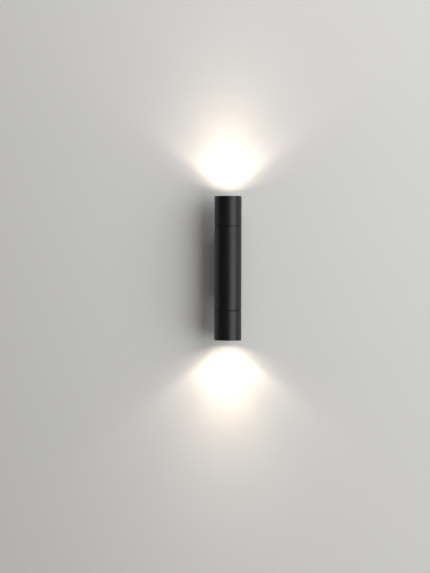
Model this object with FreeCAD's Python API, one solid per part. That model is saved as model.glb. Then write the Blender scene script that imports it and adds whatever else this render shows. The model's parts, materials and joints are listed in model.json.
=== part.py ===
import FreeCAD, Part
import math
import os

from FreeCAD import Vector

# A tube wall light that throws its light up and down the wall.
# Millimetres. The origin is on the wall, behind the middle of the tube:
# +X to the right, +Y into the wall, +Z up. The tube's axis stands AXIS_OUT off the wall.

# Clearances
SLIP = 0.1              # on radius, between a thread or spigot and its bore
FREE = 0.3              # air between pieces that move past each other
REST = 0.1              # air where one piece rests on another of a different body

# The mains reflector lamp, a standard size
LAMP_R = 25.0           # largest radius, at the front
LAMP_L = 48.0           # face of the base to the front of the lens
LAMP_BASE_H = 12.0
LAMP_BASE_R = 13.5
LAMP_BASE_FLAT = 10.5   # half width across the flats of the base
LAMP_NECK_R = 15.0
LAMP_SHELL = 2.0        # wall of the lamp's shell
LENS_T = 3.0            # flange of the lens
LENS_SEAT = 1.8         # rim of the shell, in to the seat of the lens
WELL_STEP = 1.4         # seat of the lens, in to the well behind it
BOARD_T = 1.6           # light board
BOARD_DEPTH = 11.0      # front of the lens to the back of the board
CONE_DEPTH = 8.8        # front of the lens to the top of the shell's cone
CHIP_W = 5.0
CHIP_T = 0.8
PIN_CIRCLE = 5.0        # radius of the circle that both pins stand on
PIN_NECK_R = 1.5
PIN_NECK_L = 3.2
PIN_HEAD_R = 2.45
PIN_HEAD_L = 3.6
TWIST_DEG = 40.0        # turn that locks the lamp

# Tube and hoods
LAMP_AIR = 2.5          # round the lamp, inside the hood
TUBE_WALL = 2.5         # wall of the tube and of the hoods
WALL_GAP = 25.0         # wall to the back of the tube
BODY_H = 186.0          # middle of one shadow gap to the middle of the other
SEAM_GAP = 1.4          # height of a shadow gap
SEAM_DEPTH = 1.1        # depth of a shadow gap
RIM_ROUND = 0.8         # outer edge of a hood's rim
EDGE_BREAK = 0.3        # broken edges

# What the hood holds above the lamp, from the lens up to the rim
LENS_AIR = 1.0
LEDGE_T = 1.5
LEDGE_W = 2.6           # seat that stands in from the hood's bore
GASKET_T = 0.8
GLASS_T = 2.5
RING_T = 2.4            # retaining ring
MOUTH_DEPTH = 6.6       # rim down to the retaining ring
NOTCH_W = 2.5           # spanner notches of the retaining ring
NOTCH_DEPTH = 1.2

# Collars, which join the hoods to the tube
SPIGOT_DOWN = 11.6      # length held in the tube
COLLAR_WALL = 2.6
WEB_T = 2.5             # inner flange that the lampholder's strap is screwed under
WEB_W = 6.8
SEAL_ZONE = 2.4         # stretch of the upper spigot that carries the seal
SEAL_R = 0.6            # half thickness of the sealing ring
SEAL_GROOVE_H = 1.6
THREAD_PITCH = 1.5
THREAD_TURNS = 5        # turns that free the hood
THREAD_SPARE = 0.5      # thread that is still held after those turns

# Lampholder and its strap
HOLDER_H = 15.0
HOLDER_R = 14.5
HOLDER_FLAT = 11.5      # half width across the flats
HOLDER_PLATE = 2.6      # plate that the pin heads lock behind
HOLDER_FLOOR = 5.5
HOLDER_SCREW_X = 10.5
STRAP_T = 1.0
STRAP_W = 14.0
STRAP_SCREW_INSET = 3.8  # strap screw in from the bore of the collar
LEAD_SLOT_W = 7.5
LEAD_SLOT_L = 15.0
CONTACT_T = 0.4
CONTACT_W = 3.0
CONTACT_L = 6.4
TAIL_R = 0.6
TAIL_REACH = 3.2        # bottom of the lampholder up to the contact's tail

# Screws: shank radius, head radius, head height
M3_R = 1.5
M3_HEAD_R = 2.75
M3_HEAD_H = 1.8
M4_R = 2.0
M4_HEAD_R = 3.8
M4_HEAD_H = 2.4
SCREW_HOLE_AIR = 0.2    # round a screw that passes through
SOCKET_R = 1.25         # hexagon socket, half across its corners
SOCKET_DEPTH = 1.3
SLOT_W = 0.8            # driver slot
SLOT_DEPTH = 0.8

# Wall box, between the tube and the wall
BOX_W = 44.0
BOX_H = 134.0
BOX_WALL = 2.5
BOX_CORNER = 5.0
BOX_LIFT = 0.3          # rim of the box off the wall
SEAT_RISE = 1.0         # flat bosses on the inside of the saddle
SADDLE_INSET = 19.0     # saddle screw in from the end of the box
SADDLE_BOSS_R = 5.5
SADDLE_SCREW_L = 10.0
NUT_PLATE_T = 3.0
NUT_PLATE_W = 16.0
NUT_PLATE_END = 10.0    # nut plate past its screws
LOCK_SCREW_L = 7.0
LOCK_SCREW_OUT = 7.0    # wall to the lock screws

# Wall bracket
BRACKET_T = 1.5
BRACKET_AIR = 0.5       # between its long edges and the box
BRACKET_CORNER = 3.5
BRACKET_BEND = 2.5      # outside radius of its bends
FLANGE_OUT = 13.0       # wall to the edge of its end flanges
WALL_SLOT_R = 2.4
WALL_SLOT_L = 9.0
WALL_SLOT_INSET = 16.2  # slot's middle in from the end of the bracket

# Supply entry and feed bush
CABLE_DROP = 15.5       # terminal block down to the cable entry
CABLE_R = 4.2
GROMMET_WALL = 3.2
GROMMET_LIP = 2.0
GROMMET_LIP_T = 1.8
GROMMET_NOSE = 5.5
GROMMET_TIP_WALL = 1.1
LEAD_RISE = 21.5        # terminal block up to the feed bush
BUSH_BORE_R = 3.2
BUSH_WALL = 1.7
BUSH_LIP = 2.1
BUSH_LIP_T = 1.5
BUSH_MOUTH = 0.6        # rounding of the bush's mouths
BUSH_PAST = 1.5         # bush past the inside of the tube
BUSH_BOSS_LAND = 1.0

# Terminal block
POLE_PITCH = 10.0
BLOCK_H = 17.0
BLOCK_OUT = 13.0
BLOCK_SIDE = 5.5        # block past its outer poles
BARREL_R = 2.5
BARREL_BORE_R = 1.9
BARREL_L = 15.0
BARREL_OUT = 7.0        # bracket to the middle of the barrels
TERMINAL_SCREW_Z = 4.2
TERMINAL_SCREW_R = 1.4
TERMINAL_SCREW_DEEP = 1.6  # screw heads below the face of the block

# Leads and earth tags
LEAD_R = 1.1
CORE_R = 0.5
CORE_L = 4.5            # bared end, inside a terminal
PAIR = 1.15             # half the distance between two leads in one pole
BUNDLE = 1.2            # half the distance between leads in the bush
TAG_R = 3.8
TAG_T = 0.8
TAG_TONGUE = 4.5
CRIMP_L = 5.0
CRIMP_WALL = 0.4
TAG_LEAN_DEG = 45.0     # crimp of the saddle's tag, below the level
EARTH_INSET = 7.0       # earth screw in from the edge of the bracket
EARTH_Z = 40.0
CRIMP_RUN = 4.5         # straight run of a lead before its crimp
UPPER_TURN = 1.6        # the upper lamp's leads turn this far before their barrels
LOWER_TURN = 6.0        # the lower lamp's leads turn this far before them
ARC_SHARE = 0.45        # share of the shorter run that a lead's bend takes up

# Tube and hood, worked out from the lamp
BORE_R = LAMP_R + LAMP_AIR
TUBE_R = BORE_R + TUBE_WALL
AXIS_OUT = TUBE_R + WALL_GAP
SEAM_Z = BODY_H / 2
TUBE_END_Z = SEAM_Z - SEAM_GAP / 2
HOOD_Z = SEAM_Z + SEAM_GAP / 2
SPIGOT_R = BORE_R - SLIP
COLLAR_BORE_R = SPIGOT_R - COLLAR_WALL
STRAP_SCREW_X = COLLAR_BORE_R - STRAP_SCREW_INSET
SEAT_R = LAMP_R - LENS_SEAT
WELL_R = SEAT_R - WELL_STEP

# Heights up through the upper end
HOLDER_Z = TUBE_END_Z - SPIGOT_DOWN
HOLDER_TOP_Z = HOLDER_Z + HOLDER_H
BASE_Z = HOLDER_TOP_Z + FREE
LENS_Z = BASE_Z + LAMP_L
LEDGE_Z = LENS_Z + LENS_AIR
GASKET_Z = LEDGE_Z + LEDGE_T
GLASS_Z = GASKET_Z + GASKET_T + REST
RING_Z = GLASS_Z + GLASS_T + REST
RIM_Z = RING_Z + RING_T + MOUTH_DEPTH
FLANGE_TOP_Z = HOOD_Z - REST
THREAD_L = THREAD_PITCH * THREAD_TURNS + THREAD_SPARE
SPIGOT_TOP_Z = FLANGE_TOP_Z + SEAL_ZONE + THREAD_L

# Places in the wall box
BRACKET_END_Z = BOX_H / 2 - BOX_WALL - FREE
BRACKET_W = BOX_W - 2 * BOX_WALL - 2 * BRACKET_AIR
EARTH_X = BRACKET_W / 2 - EARTH_INSET
SADDLE_Z = BOX_H / 2 - SADDLE_INSET
WALL_SLOT_Z = BRACKET_END_Z - WALL_SLOT_INSET
BUSH_Z = BLOCK_H / 2 + LEAD_RISE
CABLE_Z = -BLOCK_H / 2 - CABLE_DROP
SADDLE_R = TUBE_R + SLIP
WEB_R = SADDLE_R + BOX_WALL
SEAT_Y = -AXIS_OUT + WEB_R + SEAT_RISE
BUSH_R = BUSH_BORE_R + BUSH_WALL
BARREL_Y = -BRACKET_T - BARREL_OUT
BLOCK_Y = -BRACKET_T - BLOCK_OUT
BLOCK_W = 2 * POLE_PITCH + 2 * BLOCK_SIDE

ORIGIN = Vector(0, 0, 0)
UP = Vector(0, 0, 1)
ALONG_Y = Vector(0, 1, 0)


def on_axis(z):
    """The point of the tube's axis at this height."""
    return Vector(0, -AXIS_OUT, z)


def disc(radius, z_low, z_high, x=0.0, y=0.0):
    """A round bar along Z, placed from the tube's axis."""
    return Part.makeCylinder(radius, z_high - z_low, on_axis(z_low) + Vector(x, y, 0))


def ring(r_out, r_in, z_low, z_high):
    """A plain ring round the tube's axis."""
    return disc(r_out, z_low, z_high).cut(disc(r_in, z_low, z_high))


def bar_y(radius, y_low, y_high, x=0.0, z=0.0):
    """A round bar along Y, from nearer the room to nearer the wall."""
    return Part.makeCylinder(radius, y_high - y_low, Vector(x, y_low, z), ALONG_Y)


def slab(x_low, x_high, y_low, y_high, z_low, z_high):
    """A box between two values on each axis."""
    corner = Vector(x_low, y_low, z_low)
    return Part.makeBox(x_high - x_low, y_high - y_low, z_high - z_low, corner)


def turned(outline):
    """A closed outline of (radius, height) points, turned about the tube's axis."""
    points = [on_axis(z) + Vector(r, 0, 0) for r, z in outline]
    face = Part.Face(Part.makePolygon(points + points[:1]))
    return face.revolve(on_axis(0), UP, 360)


def circles(shape, radius, z):
    """The round edges of this radius at this height."""
    found = []
    for edge in shape.Edges:
        if not isinstance(edge.Curve, Part.Circle):
            continue
        if abs(edge.Curve.Radius - radius) < 1e-6 and abs(edge.Curve.Center.z - z) < 1e-6:
            found.append(edge)
    return found


def spun(shape, degrees):
    """A copy turned about the tube's axis."""
    copy = shape.copy()
    copy.rotate(on_axis(0), UP, degrees)
    return copy


def other_end(shape):
    """The same piece at the lower end: half a turn about the Y axis through the origin."""
    copy = shape.copy()
    copy.rotate(ORIGIN, ALONG_Y, 180)
    return copy


def rounded_prism(half_w, half_h, corner, y_low, y_high):
    """A prism along Y whose four long edges are rounded."""
    prism = slab(-half_w, half_w, y_low, y_high, -half_h, half_h)
    long_edges = []
    for edge in prism.Edges:
        ends = [vertex.Point for vertex in edge.Vertexes]
        if abs(ends[0].y - ends[1].y) > 1e-6:
            long_edges.append(edge)
    return prism.makeFillet(corner, long_edges)


# The tube and what the hoods screw on to

def body_tube():
    """The middle tube, drilled at the back for the saddle screws and the feed bush."""
    tube = ring(TUBE_R, BORE_R, -TUBE_END_Z, TUBE_END_Z)
    ends = circles(tube, TUBE_R, TUBE_END_Z) + circles(tube, TUBE_R, -TUBE_END_Z)
    tube = tube.makeChamfer(EDGE_BREAK, ends)
    back = -AXIS_OUT + TUBE_R
    inside = back - 2 * TUBE_WALL
    for z in (SADDLE_Z, -SADDLE_Z):
        tube = tube.cut(bar_y(M4_R + SCREW_HOLE_AIR, inside, back, 0, z))
    return tube.cut(bar_y(BUSH_R + SLIP, inside, back, 0, BUSH_Z))


def collar():
    """The collar: a spigot in the tube, the flange that shows as the shadow gap, and the
    threaded spigot that the hood screws on to. The thread is a plain cylinder."""
    groove_low = FLANGE_TOP_Z + (SEAL_ZONE - SEAL_GROOVE_H) / 2
    groove_high = groove_low + SEAL_GROOVE_H
    groove_r = SPIGOT_R - 2 * SEAL_R - SLIP / 2
    flange_r = TUBE_R - SEAM_DEPTH
    web_r = COLLAR_BORE_R - WEB_W
    body = turned([
        (web_r, HOLDER_Z),
        (SPIGOT_R, HOLDER_Z),
        (SPIGOT_R, TUBE_END_Z),
        (flange_r, TUBE_END_Z),
        (flange_r, FLANGE_TOP_Z),
        (SPIGOT_R, FLANGE_TOP_Z),
        (SPIGOT_R, groove_low),
        (groove_r, groove_low),
        (groove_r, groove_high),
        (SPIGOT_R, groove_high),
        (SPIGOT_R, SPIGOT_TOP_Z - EDGE_BREAK),
        (SPIGOT_R - EDGE_BREAK, SPIGOT_TOP_Z),
        (COLLAR_BORE_R, SPIGOT_TOP_Z),
        (COLLAR_BORE_R, HOLDER_Z + WEB_T),
        (web_r, HOLDER_Z + WEB_T),
    ])
    for side in (-1, 1):
        body = body.cut(disc(M3_R, HOLDER_Z, HOLDER_Z + WEB_T, side * STRAP_SCREW_X))
    return body


def seal_ring():
    """The rubber ring in the groove of the collar."""
    middle = SPIGOT_R - SEAL_R
    z = FLANGE_TOP_Z + SEAL_ZONE / 2
    return Part.makeTorus(middle, SEAL_R, on_axis(z), UP)


def hood():
    """The hood: a tube with a ledge inside for the cover glass."""
    shell = ring(TUBE_R, BORE_R, HOOD_Z, RIM_Z)
    ledge = ring(BORE_R + TUBE_WALL / 2, BORE_R - LEDGE_W, LEDGE_Z, GASKET_Z)
    body = shell.fuse(ledge).removeSplitter()
    body = body.makeFillet(RIM_ROUND, circles(body, TUBE_R, RIM_Z))
    breaks = circles(body, BORE_R, RIM_Z) + circles(body, TUBE_R, HOOD_Z)
    return body.makeChamfer(EDGE_BREAK, breaks)


def hood_gasket():
    """The flat ring that the cover glass lies on."""
    return ring(BORE_R - SLIP, BORE_R - LEDGE_W, GASKET_Z, GASKET_Z + GASKET_T)


def hood_glass():
    """The cover glass, a disc with broken edges."""
    radius = BORE_R - FREE
    glass = disc(radius, GLASS_Z, GLASS_Z + GLASS_T)
    edges = circles(glass, radius, GLASS_Z) + circles(glass, radius, GLASS_Z + GLASS_T)
    return glass.makeChamfer(EDGE_BREAK, edges)


def glass_ring():
    """The threaded ring over the glass, with two notches for a spanner."""
    inner = BORE_R - LEDGE_W
    top = RING_Z + RING_T
    body = ring(BORE_R - SLIP, inner, RING_Z, top)
    half = NOTCH_W / 2
    notch = slab(-BORE_R, BORE_R, -AXIS_OUT - half, -AXIS_OUT + half, top - NOTCH_DEPTH, top)
    land = ring(BORE_R, inner + LEDGE_W / 2, RING_Z, top)
    return body.cut(notch.cut(land))


# Lampholder

def kidney(half_width, z_low, z_high):
    """A slot along the pin circle, from the locked place to the one that frees the pin."""
    inner = PIN_CIRCLE - half_width
    outer = PIN_CIRCLE + half_width
    corners = [(inner, z_low), (outer, z_low), (outer, z_high), (inner, z_high)]
    points = [on_axis(z) + Vector(r, 0, 0) for r, z in corners]
    face = Part.Face(Part.makePolygon(points + points[:1]))
    slot = face.revolve(on_axis(0), UP, TWIST_DEG)
    locked = disc(half_width, z_low, z_high, PIN_CIRCLE)
    return slot.fuse([locked, spun(locked, TWIST_DEG)]).removeSplitter()


def lampholder():
    """The ceramic lampholder with a kidney slot, a pocket and a lead hole for each pin."""
    body = disc(HOLDER_R, HOLDER_Z, HOLDER_TOP_Z)
    flats = slab(-HOLDER_R, HOLDER_R, -AXIS_OUT - HOLDER_FLAT, -AXIS_OUT + HOLDER_FLAT,
                 HOLDER_Z, HOLDER_TOP_Z)
    body = body.common(flats)
    plate_z = HOLDER_TOP_Z - HOLDER_PLATE
    floor_z = HOLDER_Z + HOLDER_FLOOR
    slot = kidney(PIN_NECK_R + FREE, plate_z, HOLDER_TOP_Z)
    way_in = spun(disc(PIN_HEAD_R + FREE, plate_z, HOLDER_TOP_Z, PIN_CIRCLE), TWIST_DEG)
    pocket = kidney(PIN_HEAD_R + FREE, floor_z, plate_z)
    lead_hole = spun(disc(LEAD_R + SCREW_HOLE_AIR, HOLDER_Z, floor_z, PIN_CIRCLE), TWIST_DEG / 2)
    cuts = []
    for cut in (slot, way_in, pocket, lead_hole):
        cuts += [cut, spun(cut, 180)]
    for side in (-1, 1):
        x = side * HOLDER_SCREW_X
        cuts.append(disc(M3_R + SCREW_HOLE_AIR, HOLDER_Z, HOLDER_TOP_Z, x))
        cuts.append(disc(M3_HEAD_R + SCREW_HOLE_AIR, HOLDER_TOP_Z - M3_HEAD_H - FREE,
                         HOLDER_TOP_Z, x))
    return body.cut(cuts)


def contact():
    """One spring contact: a foot, a riser and a leaf under the pin, with a tail to the lead."""
    foot_z = HOLDER_Z + HOLDER_FLOOR
    leaf_z = BASE_Z - PIN_NECK_L - PIN_HEAD_L - FREE
    end = CONTACT_L / 2
    outline = [
        (-end, foot_z),
        (end, foot_z),
        (end, foot_z + CONTACT_T),
        (-end + CONTACT_T, foot_z + CONTACT_T),
        (-end + CONTACT_T, leaf_z - CONTACT_T),
        (end, leaf_z - CONTACT_T),
        (end, leaf_z),
        (-end, leaf_z),
    ]
    side = PIN_CIRCLE - CONTACT_W / 2
    points = [Vector(side, y - AXIS_OUT, z) for y, z in outline]
    spring = Part.Face(Part.makePolygon(points + points[:1])).extrude(Vector(CONTACT_W, 0, 0))
    tail = disc(TAIL_R, HOLDER_Z + TAIL_REACH, foot_z + CONTACT_T, PIN_CIRCLE)
    return spun(spring.fuse(tail).removeSplitter(), TWIST_DEG / 2)


def contacts():
    """Both contacts of a lampholder."""
    one = contact()
    return [one, spun(one, 180)]


def holder_strap():
    """The steel strap under the collar that carries the lampholder."""
    half = STRAP_W / 2
    low = HOLDER_Z - STRAP_T
    bar = slab(-BORE_R, BORE_R, -AXIS_OUT - half, -AXIS_OUT + half, low, HOLDER_Z)
    strap = bar.common(disc(COLLAR_BORE_R, low, HOLDER_Z))
    slot_x = (LEAD_SLOT_L - LEAD_SLOT_W) / 2
    way = LEAD_SLOT_W / 2
    cuts = [slab(-slot_x, slot_x, -AXIS_OUT - way, -AXIS_OUT + way, low, HOLDER_Z)]
    for side in (-1, 1):
        cuts.append(disc(way, low, HOLDER_Z, side * slot_x))
        cuts.append(disc(M3_R, low, HOLDER_Z, side * HOLDER_SCREW_X))
        cuts.append(disc(M3_R + SCREW_HOLE_AIR, low, HOLDER_Z, side * STRAP_SCREW_X))
    return strap.cut(cuts)


def slotted_head(head, top_z, down, x):
    """A driver slot across the top of a head that faces up, or the bottom if down is set."""
    low = top_z if down else top_z - SLOT_DEPTH
    half = SLOT_W / 2
    slot = slab(x - M4_HEAD_R, x + M4_HEAD_R, -AXIS_OUT - half, -AXIS_OUT + half,
                low, low + SLOT_DEPTH)
    return head.cut(slot)


def strap_screws():
    """Two screws up through the strap into the collar."""
    screws = []
    seat = HOLDER_Z - STRAP_T
    for side in (-1, 1):
        x = side * STRAP_SCREW_X
        shank = disc(M3_R - SLIP / 2, seat, HOLDER_Z + WEB_T, x)
        head = disc(M3_HEAD_R, seat - M3_HEAD_H, seat, x)
        head = slotted_head(head, seat - M3_HEAD_H, True, x)
        screws.append(shank.fuse(head).removeSplitter())
    return screws


def holder_screws():
    """Two screws down through the lampholder into the strap."""
    screws = []
    seat = HOLDER_TOP_Z - M3_HEAD_H - FREE
    for side in (-1, 1):
        x = side * HOLDER_SCREW_X
        shank = disc(M3_R - SLIP / 2, HOLDER_Z - STRAP_T, seat, x)
        head = disc(M3_HEAD_R, seat, seat + M3_HEAD_H, x)
        head = slotted_head(head, seat + M3_HEAD_H, False, x)
        screws.append(shank.fuse(head).removeSplitter())
    return screws


# The lamp that twists into the lampholder

def lamp_base():
    """The flat-sided base of the lamp."""
    body = disc(LAMP_BASE_R, BASE_Z, BASE_Z + LAMP_BASE_H)
    flats = slab(-LAMP_BASE_R, LAMP_BASE_R, -AXIS_OUT - LAMP_BASE_FLAT,
                 -AXIS_OUT + LAMP_BASE_FLAT, BASE_Z, BASE_Z + LAMP_BASE_H)
    return body.common(flats)


def lamp_pins():
    """Two pins, each a thin neck and a wide head."""
    head_z = BASE_Z - PIN_NECK_L
    neck = disc(PIN_NECK_R, head_z, BASE_Z, PIN_CIRCLE)
    head = disc(PIN_HEAD_R, head_z - PIN_HEAD_L, head_z, PIN_CIRCLE)
    pin = neck.fuse(head).removeSplitter()
    return [pin, spun(pin, 180)]


def lamp_shell():
    """The cone-shaped shell, with a floor for the light board and a seat for the lens."""
    low = BASE_Z + LAMP_BASE_H
    board_z = LENS_Z - BOARD_DEPTH
    cone_top = LENS_Z - CONE_DEPTH
    return turned([
        (LAMP_NECK_R - LAMP_SHELL, low),
        (LAMP_NECK_R, low),
        (LAMP_NECK_R + LAMP_SHELL, low + 2 * LAMP_SHELL),
        (LAMP_R - EDGE_BREAK, cone_top),
        (LAMP_R, cone_top + LAMP_SHELL),
        (LAMP_R, LENS_Z - EDGE_BREAK),
        (LAMP_R - EDGE_BREAK, LENS_Z),
        (SEAT_R, LENS_Z),
        (SEAT_R, LENS_Z - LENS_T),
        (WELL_R, LENS_Z - LENS_T),
        (WELL_R, board_z),
        (0, board_z),
        (0, board_z - LAMP_SHELL),
        (WELL_R - LAMP_SHELL, board_z - LAMP_SHELL),
        (LAMP_NECK_R, low + 2 * LAMP_SHELL),
        (LAMP_NECK_R - LAMP_SHELL, low + LAMP_SHELL),
    ])


def lamp_board():
    """The round light board with its chip."""
    board_z = LENS_Z - BOARD_DEPTH
    board = disc(WELL_R - FREE, board_z, board_z + BOARD_T)
    half = CHIP_W / 2
    top = board_z + BOARD_T
    chip = slab(-half, half, -AXIS_OUT - half, -AXIS_OUT + half, top, top + CHIP_T)
    return board.fuse(chip).removeSplitter()


def lamp_lens():
    """The front lens, with the cone behind it that gathers the chip's light."""
    chip_top = LENS_Z - BOARD_DEPTH + BOARD_T + CHIP_T
    back = LENS_Z - LENS_T
    return turned([
        (0, chip_top),
        (CHIP_W, chip_top),
        (WELL_R - LAMP_SHELL, back),
        (SEAT_R - SLIP, back),
        (SEAT_R - SLIP, LENS_Z - EDGE_BREAK),
        (0, LENS_Z - EDGE_BREAK),
    ])


# Wall box and bracket

def wall_box():
    """The open-backed box: its front is a saddle that the tube lies in."""
    reach = AXIS_OUT - TUBE_R / 2
    half_w = BOX_W / 2
    half_h = BOX_H / 2
    outside = rounded_prism(half_w, half_h, BOX_CORNER, -reach, -BOX_LIFT)
    inside = rounded_prism(half_w - BOX_WALL, half_h - BOX_WALL, BOX_CORNER - BOX_WALL,
                           -reach, -BOX_LIFT)
    room = inside.cut(disc(WEB_R, -half_h, half_h))
    box = outside.cut([room, disc(SADDLE_R, -half_h, half_h)])
    root = -AXIS_OUT + SADDLE_R + BOX_WALL / 2
    bosses = [bar_y(BUSH_R + BUSH_LIP + BUSH_BOSS_LAND, root, SEAT_Y, 0, BUSH_Z)]
    holes = [bar_y(BUSH_R + SLIP, -reach, SEAT_Y, 0, BUSH_Z)]
    for z in (SADDLE_Z, -SADDLE_Z):
        bosses.append(bar_y(SADDLE_BOSS_R, root, SEAT_Y, 0, z))
        holes.append(bar_y(M4_R + SCREW_HOLE_AIR, -reach, SEAT_Y, 0, z))
    lock = Part.makeCylinder(M4_R + SCREW_HOLE_AIR, BOX_H, Vector(0, -LOCK_SCREW_OUT, -half_h))
    bosses = bosses[0].fuse(bosses[1:]).cut(disc(SADDLE_R, -half_h, half_h))
    return box.fuse(bosses).cut(holes + [lock]).removeSplitter()


def saddle_screws():
    """Two screws from inside the box, through the saddle and the tube, into the nut plate.
    The upper one also holds the tube's earth tag."""
    screws = []
    for z, packing in ((SADDLE_Z, TAG_T), (-SADDLE_Z, 0.0)):
        seat = SEAT_Y + packing
        shank = bar_y(M4_R - SLIP / 2, seat - SADDLE_SCREW_L, seat, 0, z)
        head = bar_y(M4_HEAD_R, seat, seat + M4_HEAD_H, 0, z)
        socket = hexagon(seat + M4_HEAD_H - SOCKET_DEPTH, SOCKET_DEPTH, 0, z)
        screws.append(shank.fuse(head).removeSplitter().cut(socket))
    return screws


def hexagon(y, depth, x, z):
    """A hexagonal socket along Y."""
    points = []
    for corner in range(6):
        angle = math.radians(60 * corner)
        points.append(Vector(x + SOCKET_R * math.cos(angle), y, z + SOCKET_R * math.sin(angle)))
    return Part.Face(Part.makePolygon(points + points[:1])).extrude(Vector(0, depth, 0))


def nut_plate():
    """The curved plate inside the tube that the saddle screws pull against."""
    end = SADDLE_Z + NUT_PLATE_END
    outer = BORE_R - SLIP
    curve = ring(outer, outer - NUT_PLATE_T, -end, end)
    half = NUT_PLATE_W / 2
    plate = curve.common(slab(-half, half, -AXIS_OUT, 0, -end, end))
    cuts = [bar_y(BUSH_R + FREE, -AXIS_OUT, 0, 0, BUSH_Z)]
    for z in (SADDLE_Z, -SADDLE_Z):
        cuts.append(bar_y(M4_R, -AXIS_OUT, 0, 0, z))
    return plate.cut(cuts)


def feed_bush():
    """The bush that takes the lamps' leads through the saddle and the tube's wall."""
    deep = -AXIS_OUT + BORE_R - BUSH_PAST
    barrel = bar_y(BUSH_R, deep, SEAT_Y, 0, BUSH_Z)
    lip = bar_y(BUSH_R + BUSH_LIP, SEAT_Y, SEAT_Y + BUSH_LIP_T, 0, BUSH_Z)
    bore = bar_y(BUSH_BORE_R, deep, SEAT_Y + BUSH_LIP_T, 0, BUSH_Z)
    bush = barrel.fuse(lip).removeSplitter().cut(bore)
    mouths = []
    for edge in bush.Edges:
        if isinstance(edge.Curve, Part.Circle) and abs(edge.Curve.Radius - BUSH_BORE_R) < 1e-6:
            mouths.append(edge)
    return bush.makeFillet(BUSH_MOUTH, mouths)


def wall_bracket():
    """The bent steel plate on the wall: two wall slots, the cable hole and tapped holes."""
    end = BRACKET_END_Z
    half_w = BRACKET_W / 2
    outer = slab(-half_w, half_w, -FLANGE_OUT, 0, -end, end)
    inner = slab(-half_w, half_w, -FLANGE_OUT, -BRACKET_T, -end + BRACKET_T, end - BRACKET_T)
    channel = outer.cut(inner)
    channel = channel.makeFillet(BRACKET_BEND, x_edges(channel, 0, end))
    inside_bend = BRACKET_BEND - BRACKET_T
    channel = channel.makeFillet(inside_bend, x_edges(channel, -BRACKET_T, end - BRACKET_T))
    channel = channel.common(rounded_prism(half_w, end, BRACKET_CORNER, -FLANGE_OUT, 0))
    cuts = [bar_y(CABLE_R + GROMMET_WALL + SLIP, -BRACKET_T, 0, 0, CABLE_Z)]
    cuts.append(bar_y(M4_R, -BRACKET_T, 0, EARTH_X, EARTH_Z))
    cuts.append(bar_y(M3_R, -BRACKET_T, 0, POLE_PITCH / 2, 0))
    straight = WALL_SLOT_L / 2 - WALL_SLOT_R
    for z in (WALL_SLOT_Z, -WALL_SLOT_Z):
        cuts.append(bar_y(WALL_SLOT_R, -BRACKET_T, 0, 0, z - straight))
        cuts.append(bar_y(WALL_SLOT_R, -BRACKET_T, 0, 0, z + straight))
        cuts.append(slab(-WALL_SLOT_R, WALL_SLOT_R, -BRACKET_T, 0, z - straight, z + straight))
    cuts.append(Part.makeCylinder(M4_R, 2 * end, Vector(0, -LOCK_SCREW_OUT, -end)))
    return channel.cut(cuts)


def x_edges(shape, y, z):
    """The edges along X at this depth, at this height and at the same height below."""
    found = []
    for edge in shape.Edges:
        ends = [vertex.Point for vertex in edge.Vertexes]
        if len(ends) < 2 or abs(ends[0].x - ends[1].x) < 1e-6:
            continue
        if all(abs(p.y - y) < 1e-6 and abs(abs(p.z) - z) < 1e-6 for p in ends):
            found.append(edge)
    return found


def lock_screws():
    """A button-headed screw through each end of the box into the bracket's end flange."""
    seat = BOX_H / 2
    place = Vector(0, -LOCK_SCREW_OUT, seat)
    head_low = Part.makeCylinder(M4_HEAD_R, M4_HEAD_H / 2, place)
    crown = Part.makeCone(M4_HEAD_R, M4_HEAD_R / 2, M4_HEAD_H / 2,
                          place + Vector(0, 0, M4_HEAD_H / 2))
    shank = Part.makeCylinder(M4_R - SLIP / 2, LOCK_SCREW_L,
                              place - Vector(0, 0, LOCK_SCREW_L))
    socket = Part.makeCylinder(SOCKET_R, SOCKET_DEPTH,
                               place + Vector(0, 0, M4_HEAD_H - SOCKET_DEPTH))
    screw = head_low.fuse([crown, shank]).removeSplitter().cut(socket)
    return [screw, other_end(screw)]


def cable_grommet():
    """The rubber grommet in the bracket, with a nose that closes on the supply cable."""
    outer = CABLE_R + GROMMET_WALL
    body = bar_y(outer, -BRACKET_T, 0, 0, CABLE_Z)
    lip_y = -BRACKET_T - GROMMET_LIP_T
    lip = bar_y(outer + GROMMET_LIP, lip_y, -BRACKET_T, 0, CABLE_Z)
    nose = Part.makeCone(outer, CABLE_R + GROMMET_TIP_WALL, GROMMET_NOSE,
                         Vector(0, lip_y, CABLE_Z), Vector(0, -1, 0))
    bore = bar_y(CABLE_R, lip_y - GROMMET_NOSE, 0, 0, CABLE_Z)
    return body.fuse([lip, nose]).removeSplitter().cut(bore)


# Terminal block, earth fixings and leads

def poles():
    """The X places of the three poles: line, earth and neutral."""
    return [-POLE_PITCH, 0.0, POLE_PITCH]


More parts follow.
